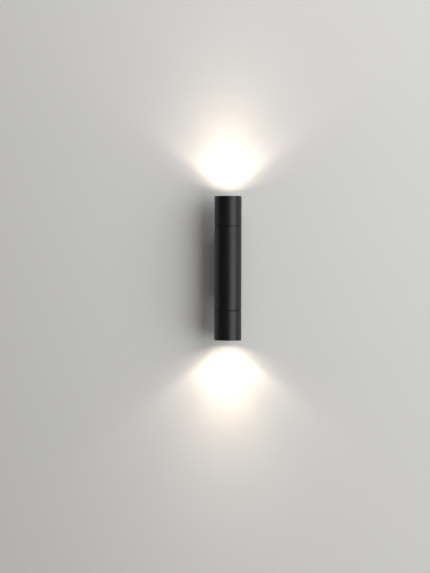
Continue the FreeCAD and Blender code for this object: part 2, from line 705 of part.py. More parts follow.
def terminal_block():
    """The moulded block with a barrel hole and two screw wells for each pole."""
    half_w = BLOCK_W / 2
    half_h = BLOCK_H / 2
    body = slab(-half_w, half_w, BLOCK_Y, -BRACKET_T, -half_h, half_h)
    valley = BARREL_OUT - BARREL_R - TERMINAL_SCREW_DEEP
    cuts = []
    for x in poles():
        cuts.append(Part.makeCylinder(BARREL_R + SLIP, BLOCK_H, Vector(x, BARREL_Y, -half_h)))
        for z in (TERMINAL_SCREW_Z, -TERMINAL_SCREW_Z):
            cuts.append(bar_y(TERMINAL_SCREW_R + FREE, BLOCK_Y, BARREL_Y, x, z))
    for side in (-1, 1):
        x = side * POLE_PITCH / 2
        cuts.append(slab(x - EDGE_BREAK, x + EDGE_BREAK, BLOCK_Y, BLOCK_Y + valley,
                         -half_h, half_h))
    fixing = POLE_PITCH / 2
    cuts.append(bar_y(M3_R + SCREW_HOLE_AIR, BLOCK_Y, -BRACKET_T, fixing, 0))
    cuts.append(bar_y(M3_HEAD_R + SCREW_HOLE_AIR, BLOCK_Y,
                      BLOCK_Y + M3_HEAD_H + FREE, fixing, 0))
    return body.cut(cuts)


def terminal_barrels():
    """A brass barrel for each pole, tapped for its two screws."""
    barrels = []
    half = BARREL_L / 2
    for x in poles():
        low = Vector(x, BARREL_Y, -half)
        barrel = Part.makeCylinder(BARREL_R, BARREL_L, low)
        cuts = [Part.makeCylinder(BARREL_BORE_R, BARREL_L, low)]
        for z in (TERMINAL_SCREW_Z, -TERMINAL_SCREW_Z):
            cuts.append(bar_y(TERMINAL_SCREW_R + SLIP / 2, BARREL_Y - BARREL_R, BARREL_Y, x, z))
        barrels.append(barrel.cut(cuts))
    return barrels


def terminal_screws():
    """Two clamping screws for each pole."""
    screws = []
    head_y = BLOCK_Y + TERMINAL_SCREW_DEEP
    for x in poles():
        for z in (TERMINAL_SCREW_Z, -TERMINAL_SCREW_Z):
            screw = bar_y(TERMINAL_SCREW_R, head_y, BARREL_Y - CORE_R - SLIP, x, z)
            slot = slab(x - BARREL_R, x + BARREL_R, head_y, head_y + SLOT_DEPTH,
                        z - SLOT_W / 2, z + SLOT_W / 2)
            screws.append(screw.cut(slot))
    return screws


def terminal_fixing_screw():
    """The screw through the block into the bracket, short of the wall."""
    x = POLE_PITCH / 2
    seat = BLOCK_Y + M3_HEAD_H + FREE
    shank = bar_y(M3_R - SLIP / 2, seat, -FREE, x, 0)
    head = bar_y(M3_HEAD_R, seat - M3_HEAD_H, seat, x, 0)
    slot = slab(x - M3_HEAD_R, x + M3_HEAD_R, seat - M3_HEAD_H,
                seat - M3_HEAD_H + SLOT_DEPTH, -SLOT_W / 2, SLOT_W / 2)
    return shank.fuse(head).removeSplitter().cut(slot)


def earth_screw():
    """The bracket's earth screw, over its tag."""
    seat = -BRACKET_T - TAG_T
    shank = bar_y(M4_R - SLIP / 2, seat, -FREE, EARTH_X, EARTH_Z)
    head = bar_y(M4_HEAD_R, seat - M4_HEAD_H, seat, EARTH_X, EARTH_Z)
    slot = slab(EARTH_X - M4_HEAD_R, EARTH_X + M4_HEAD_R, seat - M4_HEAD_H,
                seat - M4_HEAD_H + SLOT_DEPTH, EARTH_Z - SLOT_W / 2, EARTH_Z + SLOT_W / 2)
    return shank.fuse(head).removeSplitter().cut(slot)


def tag_reach():
    """The middle of the screw to the mouth of a tag's crimp."""
    return TAG_R + TAG_TONGUE + CRIMP_L


def earth_tag():
    """A ring tag at the origin, flat on the plane y = 0, with its crimp along -Z."""
    tag = bar_y(TAG_R, 0, TAG_T)
    tongue = slab(-LEAD_R, LEAD_R, 0, TAG_T, -TAG_R - TAG_TONGUE - TAG_T, 0)
    crimp_r = LEAD_R + CRIMP_WALL
    low = Vector(0, crimp_r, -tag_reach())
    crimp = Part.makeCylinder(crimp_r, CRIMP_L, low)
    bore = Part.makeCylinder(LEAD_R, CRIMP_L - TAG_T, low)
    hole = bar_y(M4_R + SCREW_HOLE_AIR, 0, TAG_T)
    return tag.fuse([tongue, crimp]).removeSplitter().cut([bore, hole])


def earth_tags():
    """One tag on the bracket, its crimp down, and one on the saddle, its crimp down to the
    left."""
    on_bracket = earth_tag()
    on_bracket.rotate(ORIGIN, UP, 180)
    on_bracket.translate(Vector(EARTH_X, -BRACKET_T, EARTH_Z))
    on_saddle = earth_tag()
    on_saddle.rotate(ORIGIN, ALONG_Y, 90 - TAG_LEAN_DEG)
    on_saddle.translate(Vector(0, SEAT_Y, SADDLE_Z))
    return [on_bracket, on_saddle]


def lead(name, points, cored_start, cored_end):
    """A round lead along straight runs joined by tangent arcs, each as large as its two
    runs allow. A cored end goes on as a bare core inside its terminal."""
    edges = []
    radii = []
    here = points[0]
    for before, corner, after in zip(points, points[1:], points[2:]):
        way_in = (corner - before).normalize()
        way_out = (after - corner).normalize()
        half_turn = way_in.getAngle(way_out) / 2
        cut = ARC_SHARE * min((corner - before).Length, (after - corner).Length)
        radius = cut / math.tan(half_turn)
        start = corner - way_in * cut
        stop = corner + way_out * cut
        inward = (way_out - way_in).normalize()
        middle = corner + inward * (radius / math.cos(half_turn) - radius)
        edges.append(Part.LineSegment(here, start).toShape())
        edges.append(Part.Arc(start, middle, stop).toShape())
        radii.append(radius)
        here = stop
    edges.append(Part.LineSegment(here, points[-1]).toShape())
    path = Part.Wire(edges)
    first = (points[1] - points[0]).normalize()
    section = Part.Wire(Part.makeCircle(LEAD_R, points[0], first))
    body = path.makePipeShell([section], True, False)
    share = body.Volume / (math.pi * LEAD_R ** 2 * path.Length)
    print(name, "length", round(path.Length, 1), "volume share", round(share, 4),
          "radii", [round(radius, 1) for radius in radii])
    last = (points[-1] - points[-2]).normalize()
    if cored_start:
        body = body.fuse(Part.makeCylinder(CORE_R, CORE_L, points[0], first * -1))
    if cored_end:
        body = body.fuse(Part.makeCylinder(CORE_R, CORE_L, points[-1], last))
    return body.removeSplitter()


def holder_lead_point(x_side, upper):
    """The tail of the contact on this side, where a lead ends, at the upper or lower end."""
    angle = math.radians(TWIST_DEG / 2)
    x = x_side * PIN_CIRCLE * math.cos(angle)
    y = x_side * PIN_CIRCLE * math.sin(angle)
    z = HOLDER_Z + TAIL_REACH
    if upper:
        return Vector(x, y - AXIS_OUT, z)
    return Vector(x, -y - AXIS_OUT, -z)


def lamp_lead(name, x_side, upper):
    """A lead from a lampholder through the feed bush to the terminal block."""
    start = holder_lead_point(x_side, upper)
    rise = 1 if upper else -1
    bush = Vector(x_side * BUNDLE, -AXIS_OUT, BUSH_Z + rise * BUNDLE)
    turn_y = BARREL_Y - (UPPER_TURN if upper else LOWER_TURN)
    pole_x = x_side * (POLE_PITCH + rise * PAIR)
    top = BLOCK_H / 2
    points = [
        start,
        start - Vector(0, 0, rise * 18),
        Vector(x_side * 3.0, start.y + 5, bush.z + rise * 18),
        Vector(bush.x, -AXIS_OUT + 9, bush.z),
        Vector(bush.x, turn_y, bush.z),
        Vector(pole_x, BARREL_Y, top + 6.5 + rise * 2),
        Vector(pole_x, BARREL_Y, top),
    ]
    return lead(name, points, False, True)


def tube_earth_lead():
    """From the earth pole, behind the other leads, to the tag on the saddle."""
    top = BLOCK_H / 2
    lean = math.radians(TAG_LEAN_DEG)
    along = Vector(math.cos(lean), 0, math.sin(lean))
    crimp = Vector(0, SEAT_Y + LEAD_R + CRIMP_WALL, SADDLE_Z) - along * tag_reach()
    points = [
        Vector(-PAIR, BARREL_Y, top),
        Vector(-PAIR, BARREL_Y, top + 5),
        Vector(-4.0, -5.0, top + 13),
        Vector(-12.5, -5.5, top + 17.5),
        Vector(-15.0, -12.0, BUSH_Z + 1),
        crimp - along * CRIMP_RUN,
        crimp + along * (CRIMP_L - TAG_T),
    ]
    return lead("tube_earth_lead", points, True, False)


def bracket_earth_lead():
    """From the earth pole to the tag on the bracket."""
    top = BLOCK_H / 2
    crimp = Vector(EARTH_X, -BRACKET_T - LEAD_R - CRIMP_WALL, EARTH_Z - tag_reach())
    points = [
        Vector(PAIR, BARREL_Y, top),
        Vector(PAIR, BARREL_Y, top + 8.5),
        crimp - UP * CRIMP_RUN,
        crimp + UP * (CRIMP_L - TAG_T),
    ]
    return lead("bracket_earth_lead", points, True, False)


def save(name, shape):
    """Write one node. A list is a group of separate solids."""
    if isinstance(shape, list):
        shape = Part.makeCompound(shape)
    if not shape.isValid():
        print("not valid:", name)
    shape.exportStep("parts/" + name + ".step")


def main():
    """Build every piece and write it."""
    os.makedirs("parts", exist_ok=True)
    singles = {
        "body_tube": body_tube,
        "wall_box": wall_box,
        "wall_bracket": wall_bracket,
        "box_lock_screws": lock_screws,
        "saddle_screws": saddle_screws,
        "nut_plate": nut_plate,
        "feed_bush": feed_bush,
        "cable_grommet": cable_grommet,
        "terminal_block": terminal_block,
        "terminal_barrels": terminal_barrels,
        "terminal_screws": terminal_screws,
        "terminal_fixing_screw": terminal_fixing_screw,
        "earth_screw": earth_screw,
        "earth_tags": earth_tags,
        "tube_earth_lead": tube_earth_lead,
        "bracket_earth_lead": bracket_earth_lead,
    }
    for name, make in singles.items():
        save(name, make())
    ends = {
        "collar": collar,
        "seal_ring": seal_ring,
        "holder_strap": holder_strap,
        "strap_screws": strap_screws,
        "lampholder": lampholder,
        "holder_screws": holder_screws,
        "contacts": contacts,
        "lamp_base": lamp_base,
        "lamp_pins": lamp_pins,
        "lamp_shell": lamp_shell,
        "lamp_board": lamp_board,
        "lamp_lens": lamp_lens,
        "hood": hood,
        "hood_gasket": hood_gasket,
        "hood_glass": hood_glass,
        "glass_ring": glass_ring,
    }
    for name, make in ends.items():
        shape = make()
        save("upper_" + name, shape)
        if isinstance(shape, list):
            save("lower_" + name, [other_end(piece) for piece in shape])
        else:
            save("lower_" + name, other_end(shape))
    for end in ("upper", "lower"):
        for core, x_side in (("line", -1), ("neutral", 1)):
            name = end + "_" + core + "_lead"
            save(name, lamp_lead(name, x_side, end == "upper"))
    print("rim to rim", 2 * RIM_Z, "tube", 2 * TUBE_R, "depth", AXIS_OUT + TUBE_R)


main()
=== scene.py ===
import json
import logging
import math
from dataclasses import dataclass, field
from enum import Enum

import bpy
import numpy as np
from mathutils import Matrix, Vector


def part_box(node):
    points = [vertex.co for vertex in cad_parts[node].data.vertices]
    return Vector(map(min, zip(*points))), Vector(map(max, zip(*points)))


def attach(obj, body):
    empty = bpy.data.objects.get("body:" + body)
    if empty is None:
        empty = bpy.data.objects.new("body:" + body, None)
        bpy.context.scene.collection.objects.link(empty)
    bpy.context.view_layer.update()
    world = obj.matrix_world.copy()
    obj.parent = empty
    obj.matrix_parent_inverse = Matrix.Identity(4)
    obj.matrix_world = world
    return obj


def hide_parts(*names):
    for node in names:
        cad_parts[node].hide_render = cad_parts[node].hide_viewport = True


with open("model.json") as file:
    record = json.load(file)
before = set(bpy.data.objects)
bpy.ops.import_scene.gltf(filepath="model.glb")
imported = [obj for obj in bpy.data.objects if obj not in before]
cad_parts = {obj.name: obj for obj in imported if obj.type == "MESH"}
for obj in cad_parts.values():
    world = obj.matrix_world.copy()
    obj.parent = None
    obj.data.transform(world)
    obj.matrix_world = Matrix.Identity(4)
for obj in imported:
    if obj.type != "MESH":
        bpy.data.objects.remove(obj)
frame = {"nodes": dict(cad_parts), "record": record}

# The looks of a tube wall light: a slim black tube with a hood at each end, on a hidden box.
# Metres. The origin is on the wall behind the middle of the tube, +Y goes into the wall.

log = logging.getLogger("tube_wall_light")

MM = 0.001
ROUND_STEPS = 192       # faces round a turned piece
ALIKE = 1e-7            # radii that differ by less are the same
THREAD_CREST = 0.125    # shares of a thread's pitch
THREAD_ROOT = 0.25
Node = bpy.types.Node
Socket = bpy.types.NodeSocket
Colour = tuple[float, float, float]


class End(Enum):
    """The two ends of the light. The lower is the upper after half a turn about Y."""

    UPPER = "upper"
    LOWER = "lower"

    def node(self, name: str) -> str:
        """The full name of a piece at this end."""
        return f"{self.value}_{name}"

    def place(self, points: np.ndarray) -> np.ndarray:
        """Points made for the upper end, at this end: the half turn reverses x and z."""
        return points if self is End.UPPER else points * (-1.0, 1.0, -1.0)


class Effect(Enum):
    """Shader groups that more than one finish uses."""

    GRAIN = "coat grain"
    EDGE = "edge wear"
    DUST = "settled dust"
    DRAWN = "drawn lines"
    SPECKLE = "speckle"


# Meshes

@dataclass(frozen=True)
class Corner:
    """A corner of a turned profile: radius from the tube's axis, height and rounding."""

    radius: float
    height: float
    rounding: float = 0.0


def rounded_outline(corners: list[Corner], steps: int = 5, edge: float = 0.15 * MM) -> np.ndarray:
    """Round a closed outline off and add a row close to each end of its straight stretches.

    A corner of rounding q between unit directions a and b to its neighbours becomes an arc. Its
    middle lies q / sin(h) along a + b, where h is half the angle between them, and the arc
    runs between the points q / tan(h) along a and along b.

    Args:
        corners: the outline's corners in order.
        steps: straight pieces in each arc.
        edge: distance of the extra rows from the ends of a stretch.

    Returns:
        An array of (radius, height) rows.
    """
    spots = np.array([(corner.radius, corner.height) for corner in corners])
    rows: list[np.ndarray] = []
    for index, corner in enumerate(corners):
        here = spots[index]
        back = spots[index - 1] - here
        ahead = spots[(index + 1) % len(spots)] - here
        back_length, ahead_length = np.linalg.norm(back), np.linalg.norm(ahead)
        back, ahead = back / back_length, ahead / ahead_length
        cut = 0.0
        arc = here[None, :]
        if corner.rounding > 0:
            half = 0.5 * math.acos(float(np.clip(back @ ahead, -1, 1)))
            cut = corner.rounding / math.tan(half)
            bisector = (back + ahead) / np.linalg.norm(back + ahead)
            middle = here + bisector * corner.rounding / math.sin(half)
            start, stop = here + back * cut - middle, here + ahead * cut - middle
            turn = np.linspace(0, 1, steps + 1)[:, None] * (math.pi - 2 * half)
            across = np.array((-start[1], start[0]))
            across = across * np.sign(across @ stop)
            arc = middle + start * np.cos(turn) + across * np.sin(turn)
        if back_length > 3 * (cut + edge):
            rows.append((here + back * (cut + edge))[None, :])
        rows.append(arc)
        if ahead_length > 3 * (cut + edge):
            rows.append((here + ahead * (cut + edge))[None, :])
    return np.concatenate(rows)


def dense_stretch(outline: np.ndarray, low: float, high: float, radius: float,
                  step: float) -> np.ndarray:
    """Put evenly spaced rows into the upright stretch of an outline at one radius.

    Args:
        outline: closed rows of (radius, height).
        low: height where the even rows begin.
        high: height where they end.
        radius: radius of the upright stretch.
        step: distance between the rows.

    Returns:
        The outline with the rows added where the stretch crosses those heights.
    """
    ahead = np.roll(outline, -1, axis=0)
    upright = (abs(outline[:, 0] - radius) < ALIKE) & (abs(ahead[:, 0] - radius) < ALIKE)
    lows = np.minimum(outline[:, 1], ahead[:, 1])
    highs = np.maximum(outline[:, 1], ahead[:, 1])
    index = int(np.flatnonzero(upright & (lows <= low) & (highs >= high))[0])
    heights = np.linspace(low, high, int(round((high - low) / step)) + 1)
    if outline[index, 1] > ahead[index, 1]:
        heights = heights[::-1]
    added = np.stack([np.full_like(heights, radius), heights], axis=1)
    return np.concatenate([outline[:index + 1], added, outline[index + 1:]])


def thread_cut(height: np.ndarray, pitch: float) -> np.ndarray:
    """How deep a thread is cut, from 0 at its crest to 1 at its root.

    The wave of z / pitch - t / 2 pi has straight flanks.

    Args:
        height: heights, shaped (rows, 1).
        pitch: the thread's pitch.

    Returns:
        Depths, shaped (rows, angles).
    """
    turns = height / pitch - np.linspace(0, 1, ROUND_STEPS, endpoint=False)[None, :]
    rise = 2 * abs(turns - np.floor(turns) - 0.5)
    return np.clip((rise - THREAD_CREST) / (1 - THREAD_ROOT - THREAD_CREST), 0, 1)


def fade(values: np.ndarray, low: float, high: float, over: float) -> np.ndarray:
    """1 between low and high, falling smoothly to 0 over a stretch at both ends."""
    inside = np.clip(np.minimum(values - low, high - values) / over, 0, 1)
    return inside * inside * (3 - 2 * inside)


def turned_grid(radius: np.ndarray, height: np.ndarray, axis_y: float,
                steps: int = ROUND_STEPS) -> np.ndarray:
    """Carry an outline round the tube's axis.

    A point of the outline at radius r and height z goes to (r sin t, axis_y - r cos t, z) for
    each angle t round the circle.

    Args:
        radius: radii, shaped (rows, 1) or (rows, steps).
        height: heights, shaped (rows, 1).
        axis_y: the axis's distance into the room, as a y value.
        steps: number of angles.

    Returns:
        Points, shaped (rows, steps, 3).
    """
    angle = np.linspace(0, 2 * math.pi, steps, endpoint=False)
    radius, height = (np.broadcast_to(value, (len(value), steps)) for value in (radius, height))
    return np.stack([radius * np.sin(angle), axis_y - radius * np.cos(angle), height], axis=2)


def into_scene(name: str, data: bpy.types.ID) -> bpy.types.Object:
    """Make an object of a mesh, light or camera and link it to the scene."""
    made = bpy.data.objects.new(name, data)
    bpy.context.scene.collection.objects.link(made)
    return made


def mesh_object(name: str, points: np.ndarray, faces: list[np.ndarray]) -> bpy.types.Object:
    """Make a smooth mesh object whose faces point outwards.

    The signed volume is the sum over the faces' triangles of a . (b x c) / 6. Where it is
    negative, every face is turned over.

    Args:
        name: the object's name.
        points: vertices, shaped (count, 3).
        faces: arrays of vertex numbers, each shaped (count, corners).

    Returns:
        The object, linked to the scene.
    """
    volume = 0.0
    for block in faces:
        for second in range(1, block.shape[1] - 1):
            a, b, c = (points[block[:, k]] for k in (0, second, second + 1))
            volume += float(np.sum(a * np.cross(b, c)))
    if volume < 0:
        faces = [block[:, ::-1] for block in faces]
    mesh = bpy.data.meshes.new(name)
    mesh.from_pydata(points.tolist(), [], [face for block in faces for face in block.tolist()])
    mesh.polygons.foreach_set("use_smooth", np.ones(len(mesh.polygons), dtype=bool))
    mesh.update()
    return into_scene(name, mesh)


def grid_faces(rows: int, columns: int, wrap_rows: bool) -> np.ndarray:
    """Quads of a grid that closes on itself along its columns, and along its rows if asked.

    The face at (i, j) joins (i, j), (i, j + 1), (i + 1, j + 1) and (i + 1, j).
    """
    row = np.arange(rows if wrap_rows else rows - 1)[:, None]
    column = np.arange(columns)[None, :]
    below, beside = (row + 1) % rows, (column + 1) % columns
    corners = [row * columns + column, row * columns + beside,
               below * columns + beside, below * columns + column]
    corners = [np.broadcast_to(corner, (len(row), columns)) for corner in corners]
    return np.stack(corners, axis=2).reshape(-1, 4)


def ring_object(name: str, grid: np.ndarray) -> bpy.types.Object:
    """A turned piece whose outline is closed, so that both directions of the grid wrap."""
    rows, columns = grid.shape[:2]
    return mesh_object(name, grid.reshape(-1, 3), [grid_faces(rows, columns, True)])


def capped_object(name: str, grid: np.ndarray) -> bpy.types.Object:
    """A turned piece whose first and last rows close on a point at their middle."""
    rows, columns = grid.shape[:2]
    points = np.concatenate([grid.reshape(-1, 3), grid[0].mean(0)[None], grid[-1].mean(0)[None]])
    column = np.arange(columns)
    beside = (column + 1) % columns
    first = np.stack([beside, column, np.full(columns, rows * columns)], axis=1)
    last_row = (rows - 1) * columns
    last = np.stack([last_row + column, last_row + beside,
                     np.full(columns, rows * columns + 1)], axis=1)
    return mesh_object(name, points, [grid_faces(rows, columns, False), first, last])


def point_values(piece: bpy.types.Object, name: str, values: np.ndarray) -> None:
    """Store one number for each vertex as a named attribute that a finish can read."""
    layer = piece.data.attributes.new(name, "FLOAT", "POINT")
    layer.data.foreach_set("value", values.astype(np.float32))


# Shader trees

class Tree:
    """Adds nodes to one shader tree and links them."""

    def __init__(self, tree: bpy.types.NodeTree) -> None:
        """Keep the tree that the nodes go into."""
        self.tree = tree

    def add(self, kind: str, *values: object, **settings: object) -> Node:
        """Add one node.

        Args:
            kind: the node's type, without the words ShaderNode.
            values: what its first inputs are set to or linked from.
            settings: its properties.

        Returns:
            The node.
        """
        node = self.tree.nodes.new("ShaderNode" + kind)
        for name, value in settings.items():
            setattr(node, name, value)
        for socket, value in zip(node.inputs, values):
            self.feed(socket, value)
        return node

    def feed(self, socket: Socket, value: object) -> None:
        """Link a socket to an output, or set it to a plain value."""
        if isinstance(value, Socket):
            self.tree.links.new(value, socket)
        else:
            socket.default_value = value

    def feed_named(self, node: Node, **values: object) -> Node:
        """Feed a node's inputs by name, with _ for a space, and return the node."""
        for name, value in values.items():
            self.feed(node.inputs[name.replace("_", " ")], value)
        return node

    def math(self, operation: str, *values: object) -> Socket:
        """A Math node on the values."""
        return self.add("Math", *values, operation=operation).outputs[0]

    def vector(self, operation: str, *values: object) -> Socket:
        """A Vector Math node on the values."""
        single = operation in ("LENGTH", "DOT_PRODUCT")
        node = self.add("VectorMath", *values, operation=operation)
        return node.outputs["Value" if single else "Vector"]

    def ramp(self, value: Socket, low: float, high: float, to_low: float = 0.0,
             to_high: float = 1.0) -> Socket:
        """A smooth step from one value to another while the input goes from low to high."""
        node = self.add("MapRange", value, low, high, to_low, to_high,
                        interpolation_type="SMOOTHSTEP")
        return node.outputs["Result"]

    def blend(self, factor: object, first: object, second: object) -> Socket:
        """A colour between two colours, which are the Mix node's inputs 6 and 7."""
        node = self.add("Mix", factor, data_type="RGBA")
        for index, colour in ((6, first), (7, second)):
            self.feed(node.inputs[index], (*colour, 1.0) if isinstance(colour, tuple) else colour)
        return node.outputs[2]

    def noise(self, place: Socket, scale: object, detail: float = 2.0) -> Socket:
        """Noise at a place, mostly between 0.3 and 0.7."""
        node = self.feed_named(self.add("TexNoise"), Vector=place, Scale=scale, Detail=detail)
        return node.outputs["Fac"]

    def place(self) -> Socket:
        """The point on the piece, in metres."""
        return self.add("TexCoord").outputs["Object"]

    def off_axis(self, place: Socket) -> Socket:
        """How far a place is from the upright through the origin."""
        return self.vector("LENGTH", self.vector("MULTIPLY", place, (1.0, 1.0, 0.0)))

    def carried(self, name: str) -> Socket:
        """A value that the mesh carries."""
        return self.add("Attribute", attribute_name=name).outputs["Fac"]

    def bump(self, height: Socket, distance: float, strength: float) -> Socket:
        """The normal of a surface raised by a height, with distance as its full scale."""
        node = self.feed_named(self.add("Bump"), Height=height, Distance=distance,
                               Strength=strength)
        return node.outputs["Normal"]

    def clear_where(self, share: Socket, surface: Socket) -> Socket:
        """A surface that turns clear as the share goes to 1."""
        clear = self.add("BsdfTransparent").outputs[0]
        return self.add("MixShader", share, surface, clear).outputs[0]

    def dress(self, shader: Node, colour: Socket, rough: Socket, normal: Socket) -> Socket:
        """Feed a shader's colour, roughness and normal, and return its surface."""
        self.feed_named(shader, Base_Color=colour, Roughness=rough, Normal=normal)
        return shader.outputs[0]


def blank_material(name: str) -> tuple[bpy.types.Material, Tree, Socket]:
    """An empty material, its tree and the socket that its surface goes into."""
    made = bpy.data.materials.new(name)
    made.use_nodes = True
    made.node_tree.nodes.clear()
    tree = Tree(made.node_tree)
    return made, tree, tree.add("OutputMaterial").inputs["Surface"]


def scaled(colour: Colour, share: float) -> Colour:
    """A colour times a share, at most 1."""
    return tuple(min(1.0, share * part) for part in colour)


class EffectLibrary:
    """Builds each shared shader group once.

    Each maker adds one group's nodes. It takes the group's tree and its inputs, and returns
    its outputs by name.
    """

    def __init__(self) -> None:
        """List each group's maker and its inputs' usual values."""
        self.built: dict[Effect, bpy.types.NodeTree] = {}
        self.recipes = {
            Effect.GRAIN: (self.grain, {"Waves": 900.0, "Fineness": 4500.0, "Share": 0.4}),
            Effect.EDGE: (self.edge_wear_and_highlight, {"Width": 0.4 * MM, "Patches": 260.0}),
            Effect.DUST: (self.settled_dust, {"Amount": 0.3}),
            Effect.DRAWN: (self.drawn_lines, {"Lines": 5000.0, "Blotches": 120.0}),
            Effect.SPECKLE: (self.speckle, {"Scale": 1400.0, "Size": 0.24}),
        }

    def use(self, tree: Tree, effect: Effect,
            **values: object) -> bpy.types.bpy_prop_collection:
        """Place a group in a material.

        Args:
            tree: the material's tree.
            effect: which group.
            values: what its inputs are set to or linked from, with _ for a space.

        Returns:
            The outputs of the group's node.
        """
        if effect not in self.built:
            self.built[effect] = self.group(effect)
        node = tree.add("Group", node_tree=self.built[effect])
        return tree.feed_named(node, **values).outputs

    def group(self, effect: Effect) -> bpy.types.NodeTree:
        """Build a group whose inputs and outputs are numbers."""
        maker, inputs = self.recipes[effect]
        made = bpy.data.node_groups.new(effect.value, "ShaderNodeTree")
        for name, value in inputs.items():
            socket = made.interface.new_socket(name, in_out="INPUT", socket_type="NodeSocketFloat")
            socket.default_value = value
        tree = Tree(made)
        results = maker(tree, made.nodes.new("NodeGroupInput").outputs)
        for name in results:
            made.interface.new_socket(name, in_out="OUTPUT", socket_type="NodeSocketFloat")
        tree.feed_named(made.nodes.new("NodeGroupOutput"), **results)
        return made

    def grain(self, tree: Tree, given: bpy.types.bpy_prop_collection) -> dict[str, Socket]:
        """Baked powder: soft waves like an orange's peel, under a much finer grain."""
        place = tree.place()
        waves = tree.noise(place, given["Waves"], 1.0)
        apart = tree.math("SUBTRACT", tree.noise(place, given["Fineness"]), waves)
        return {"Height": tree.math("MULTIPLY_ADD", apart, given["Share"], waves),
                "Cloud": tree.noise(place, 38.0, 3.0)}

    def edge_wear_and_highlight(self, tree: Tree, given: bpy.types.bpy_prop_collection) -> dict[str, Socket]:
        """A mask of the sharp edges, broken up by noise: where a finish is thin or rubbed, and
        where the powder coat gets a painted highlight.
        """
        bevel = tree.feed_named(tree.add("Bevel", samples=4), Radius=given["Width"])
        flat = tree.add("NewGeometry").outputs["Normal"]
        alike = tree.vector("DOT_PRODUCT", bevel.outputs["Normal"], flat)
        sharp = tree.ramp(tree.math("SUBTRACT", 1.0, alike), 0.01, 0.16)
        patches = tree.ramp(tree.noise(tree.place(), given["Patches"], 3.0), 0.34, 0.6)
        return {"Mask": tree.math("MULTIPLY", sharp, patches)}

    def settled_dust(self, tree: Tree,
                     given: bpy.types.bpy_prop_collection) -> dict[str, Socket]:
        """A mask of the dust that lies on what faces up."""
        facing = tree.add("SeparateXYZ", tree.add("NewGeometry").outputs["Normal"])
        level = tree.ramp(facing.outputs["Z"], 0.35, 0.95)
        motes = tree.ramp(tree.noise(tree.place(), 2600.0, 3.0), 0.42, 0.68)
        drift = tree.ramp(tree.noise(tree.place(), 90.0), 0.3, 0.7, 0.3, 1.0)
        spread = tree.math("MULTIPLY", tree.math("MULTIPLY", motes, drift), level)
        return {"Mask": tree.math("MULTIPLY", spread, given["Amount"])}

    def drawn_lines(self, tree: Tree, given: bpy.types.bpy_prop_collection) -> dict[str, Socket]:
        """Fine lines that run along Z, as rolling or drawing leaves them, and blotches."""
        long = tree.feed_named(tree.add("Mapping"), Vector=tree.place(), Scale=(1.0, 1.0, 0.02))
        return {"Height": tree.noise(long.outputs["Vector"], given["Lines"], 3.0),
                "Blotch": tree.noise(tree.place(), given["Blotches"], 4.0)}

    def speckle(self, tree: Tree, given: bpy.types.bpy_prop_collection) -> dict[str, Socket]:
        """Small separate dots, and the shallow pits between them."""
        cells = tree.feed_named(tree.add("TexVoronoi"), Vector=tree.place(), Scale=given["Scale"])
        near = tree.math("SUBTRACT", given["Size"], cells.outputs["Distance"])
        some = tree.ramp(tree.noise(tree.place(), 310.0, 1.0), 0.5, 0.56)
        return {"Dots": tree.math("MULTIPLY", tree.ramp(near, 0.0, 0.08), some),
                "Pits": tree.noise(tree.place(), given["Scale"], 4.0)}


# Finishes

@dataclass(frozen=True)
class Finish:
    """One finish of the light. A subclass says how its shader is made.

    Attributes:
        title: the material's name.
        colour: the plain colour, as linear red, green and blue.
        roughness: the usual roughness.
        shine: how strongly the bare surface reflects; 0.5 is plain.
    """

    title: str
    colour: Colour
    roughness: float
    shine: float = 0.5

    def material(self, effects: EffectLibrary) -> bpy.types.Material:
        """Build the material from the shared shader groups."""
        made, tree, output = blank_material(self.title)
        shader = tree.feed_named(tree.add("BsdfPrincipled"), Roughness=self.roughness,
                                 Specular_IOR_Level=self.shine, Base_Color=(*self.colour, 1.0))
        tree.feed(output, self.surface(tree, shader, effects))
        return made

    def surface(self, tree: Tree, shader: Node, effects: EffectLibrary) -> Socket:
        """Feed the shader's sockets.

        Args:
            tree: the material's tree.
            shader: its Principled shader.
            effects: the shared shader groups.

        Returns:
            The surface's output.
        """
        raise NotImplementedError

    def uneven(self, tree: Tree, mask: Socket, less: float, more: float) -> Socket:
        """The usual roughness, less or more by it over the usual range of a noise."""
        return tree.ramp(mask, 0.3, 0.7, self.roughness - less, self.roughness + more)


@dataclass(frozen=True)
class PowderCoat(Finish):
    """Baked powder: a fine grain, paler over its edges, where the coat is thin and a highlight is
    painted on, with a little dust.

    Attributes:
        thin: colour of the coat over an edge, thin coat and painted highlight in one.
        dust: colour of the dust.
        dust_amount: how much of it lies on what faces up.
        height: full height of the grain.
    """

    thin: Colour = (0.05, 0.05, 0.05)
    dust: Colour = (0.30, 0.28, 0.26)
    dust_amount: float = 0.06
    height: float = 0.05 * MM

    def surface(self, tree: Tree, shader: Node, effects: EffectLibrary) -> Socket:
        """Mix the coat, its thin edges with their painted highlight, and the dust, and raise the
        grain.
        """
        grain = effects.use(tree, Effect.GRAIN)
        edge = effects.use(tree, Effect.EDGE)["Mask"]
        dust = effects.use(tree, Effect.DUST, Amount=self.dust_amount)["Mask"]
        coat = tree.blend(grain["Cloud"], scaled(self.colour, 0.82), scaled(self.colour, 1.18))
        # Painted highlight: the sharp edges are made paler, which also stands for the coat thinning
        # there.
        worn_and_highlit = tree.blend(tree.math("MULTIPLY", edge, 0.5), coat, self.thin)
        cloudy = self.uneven(tree, grain["Cloud"], 0.03, 0.03)
        dusty = tree.math("MULTIPLY_ADD", dust, 0.4, cloudy)
        return tree.dress(shader, tree.blend(dust, worn_and_highlit, self.dust),
                          tree.math("MULTIPLY_ADD", edge, -0.08, dusty),
                          tree.bump(grain["Height"], self.height, 0.5))


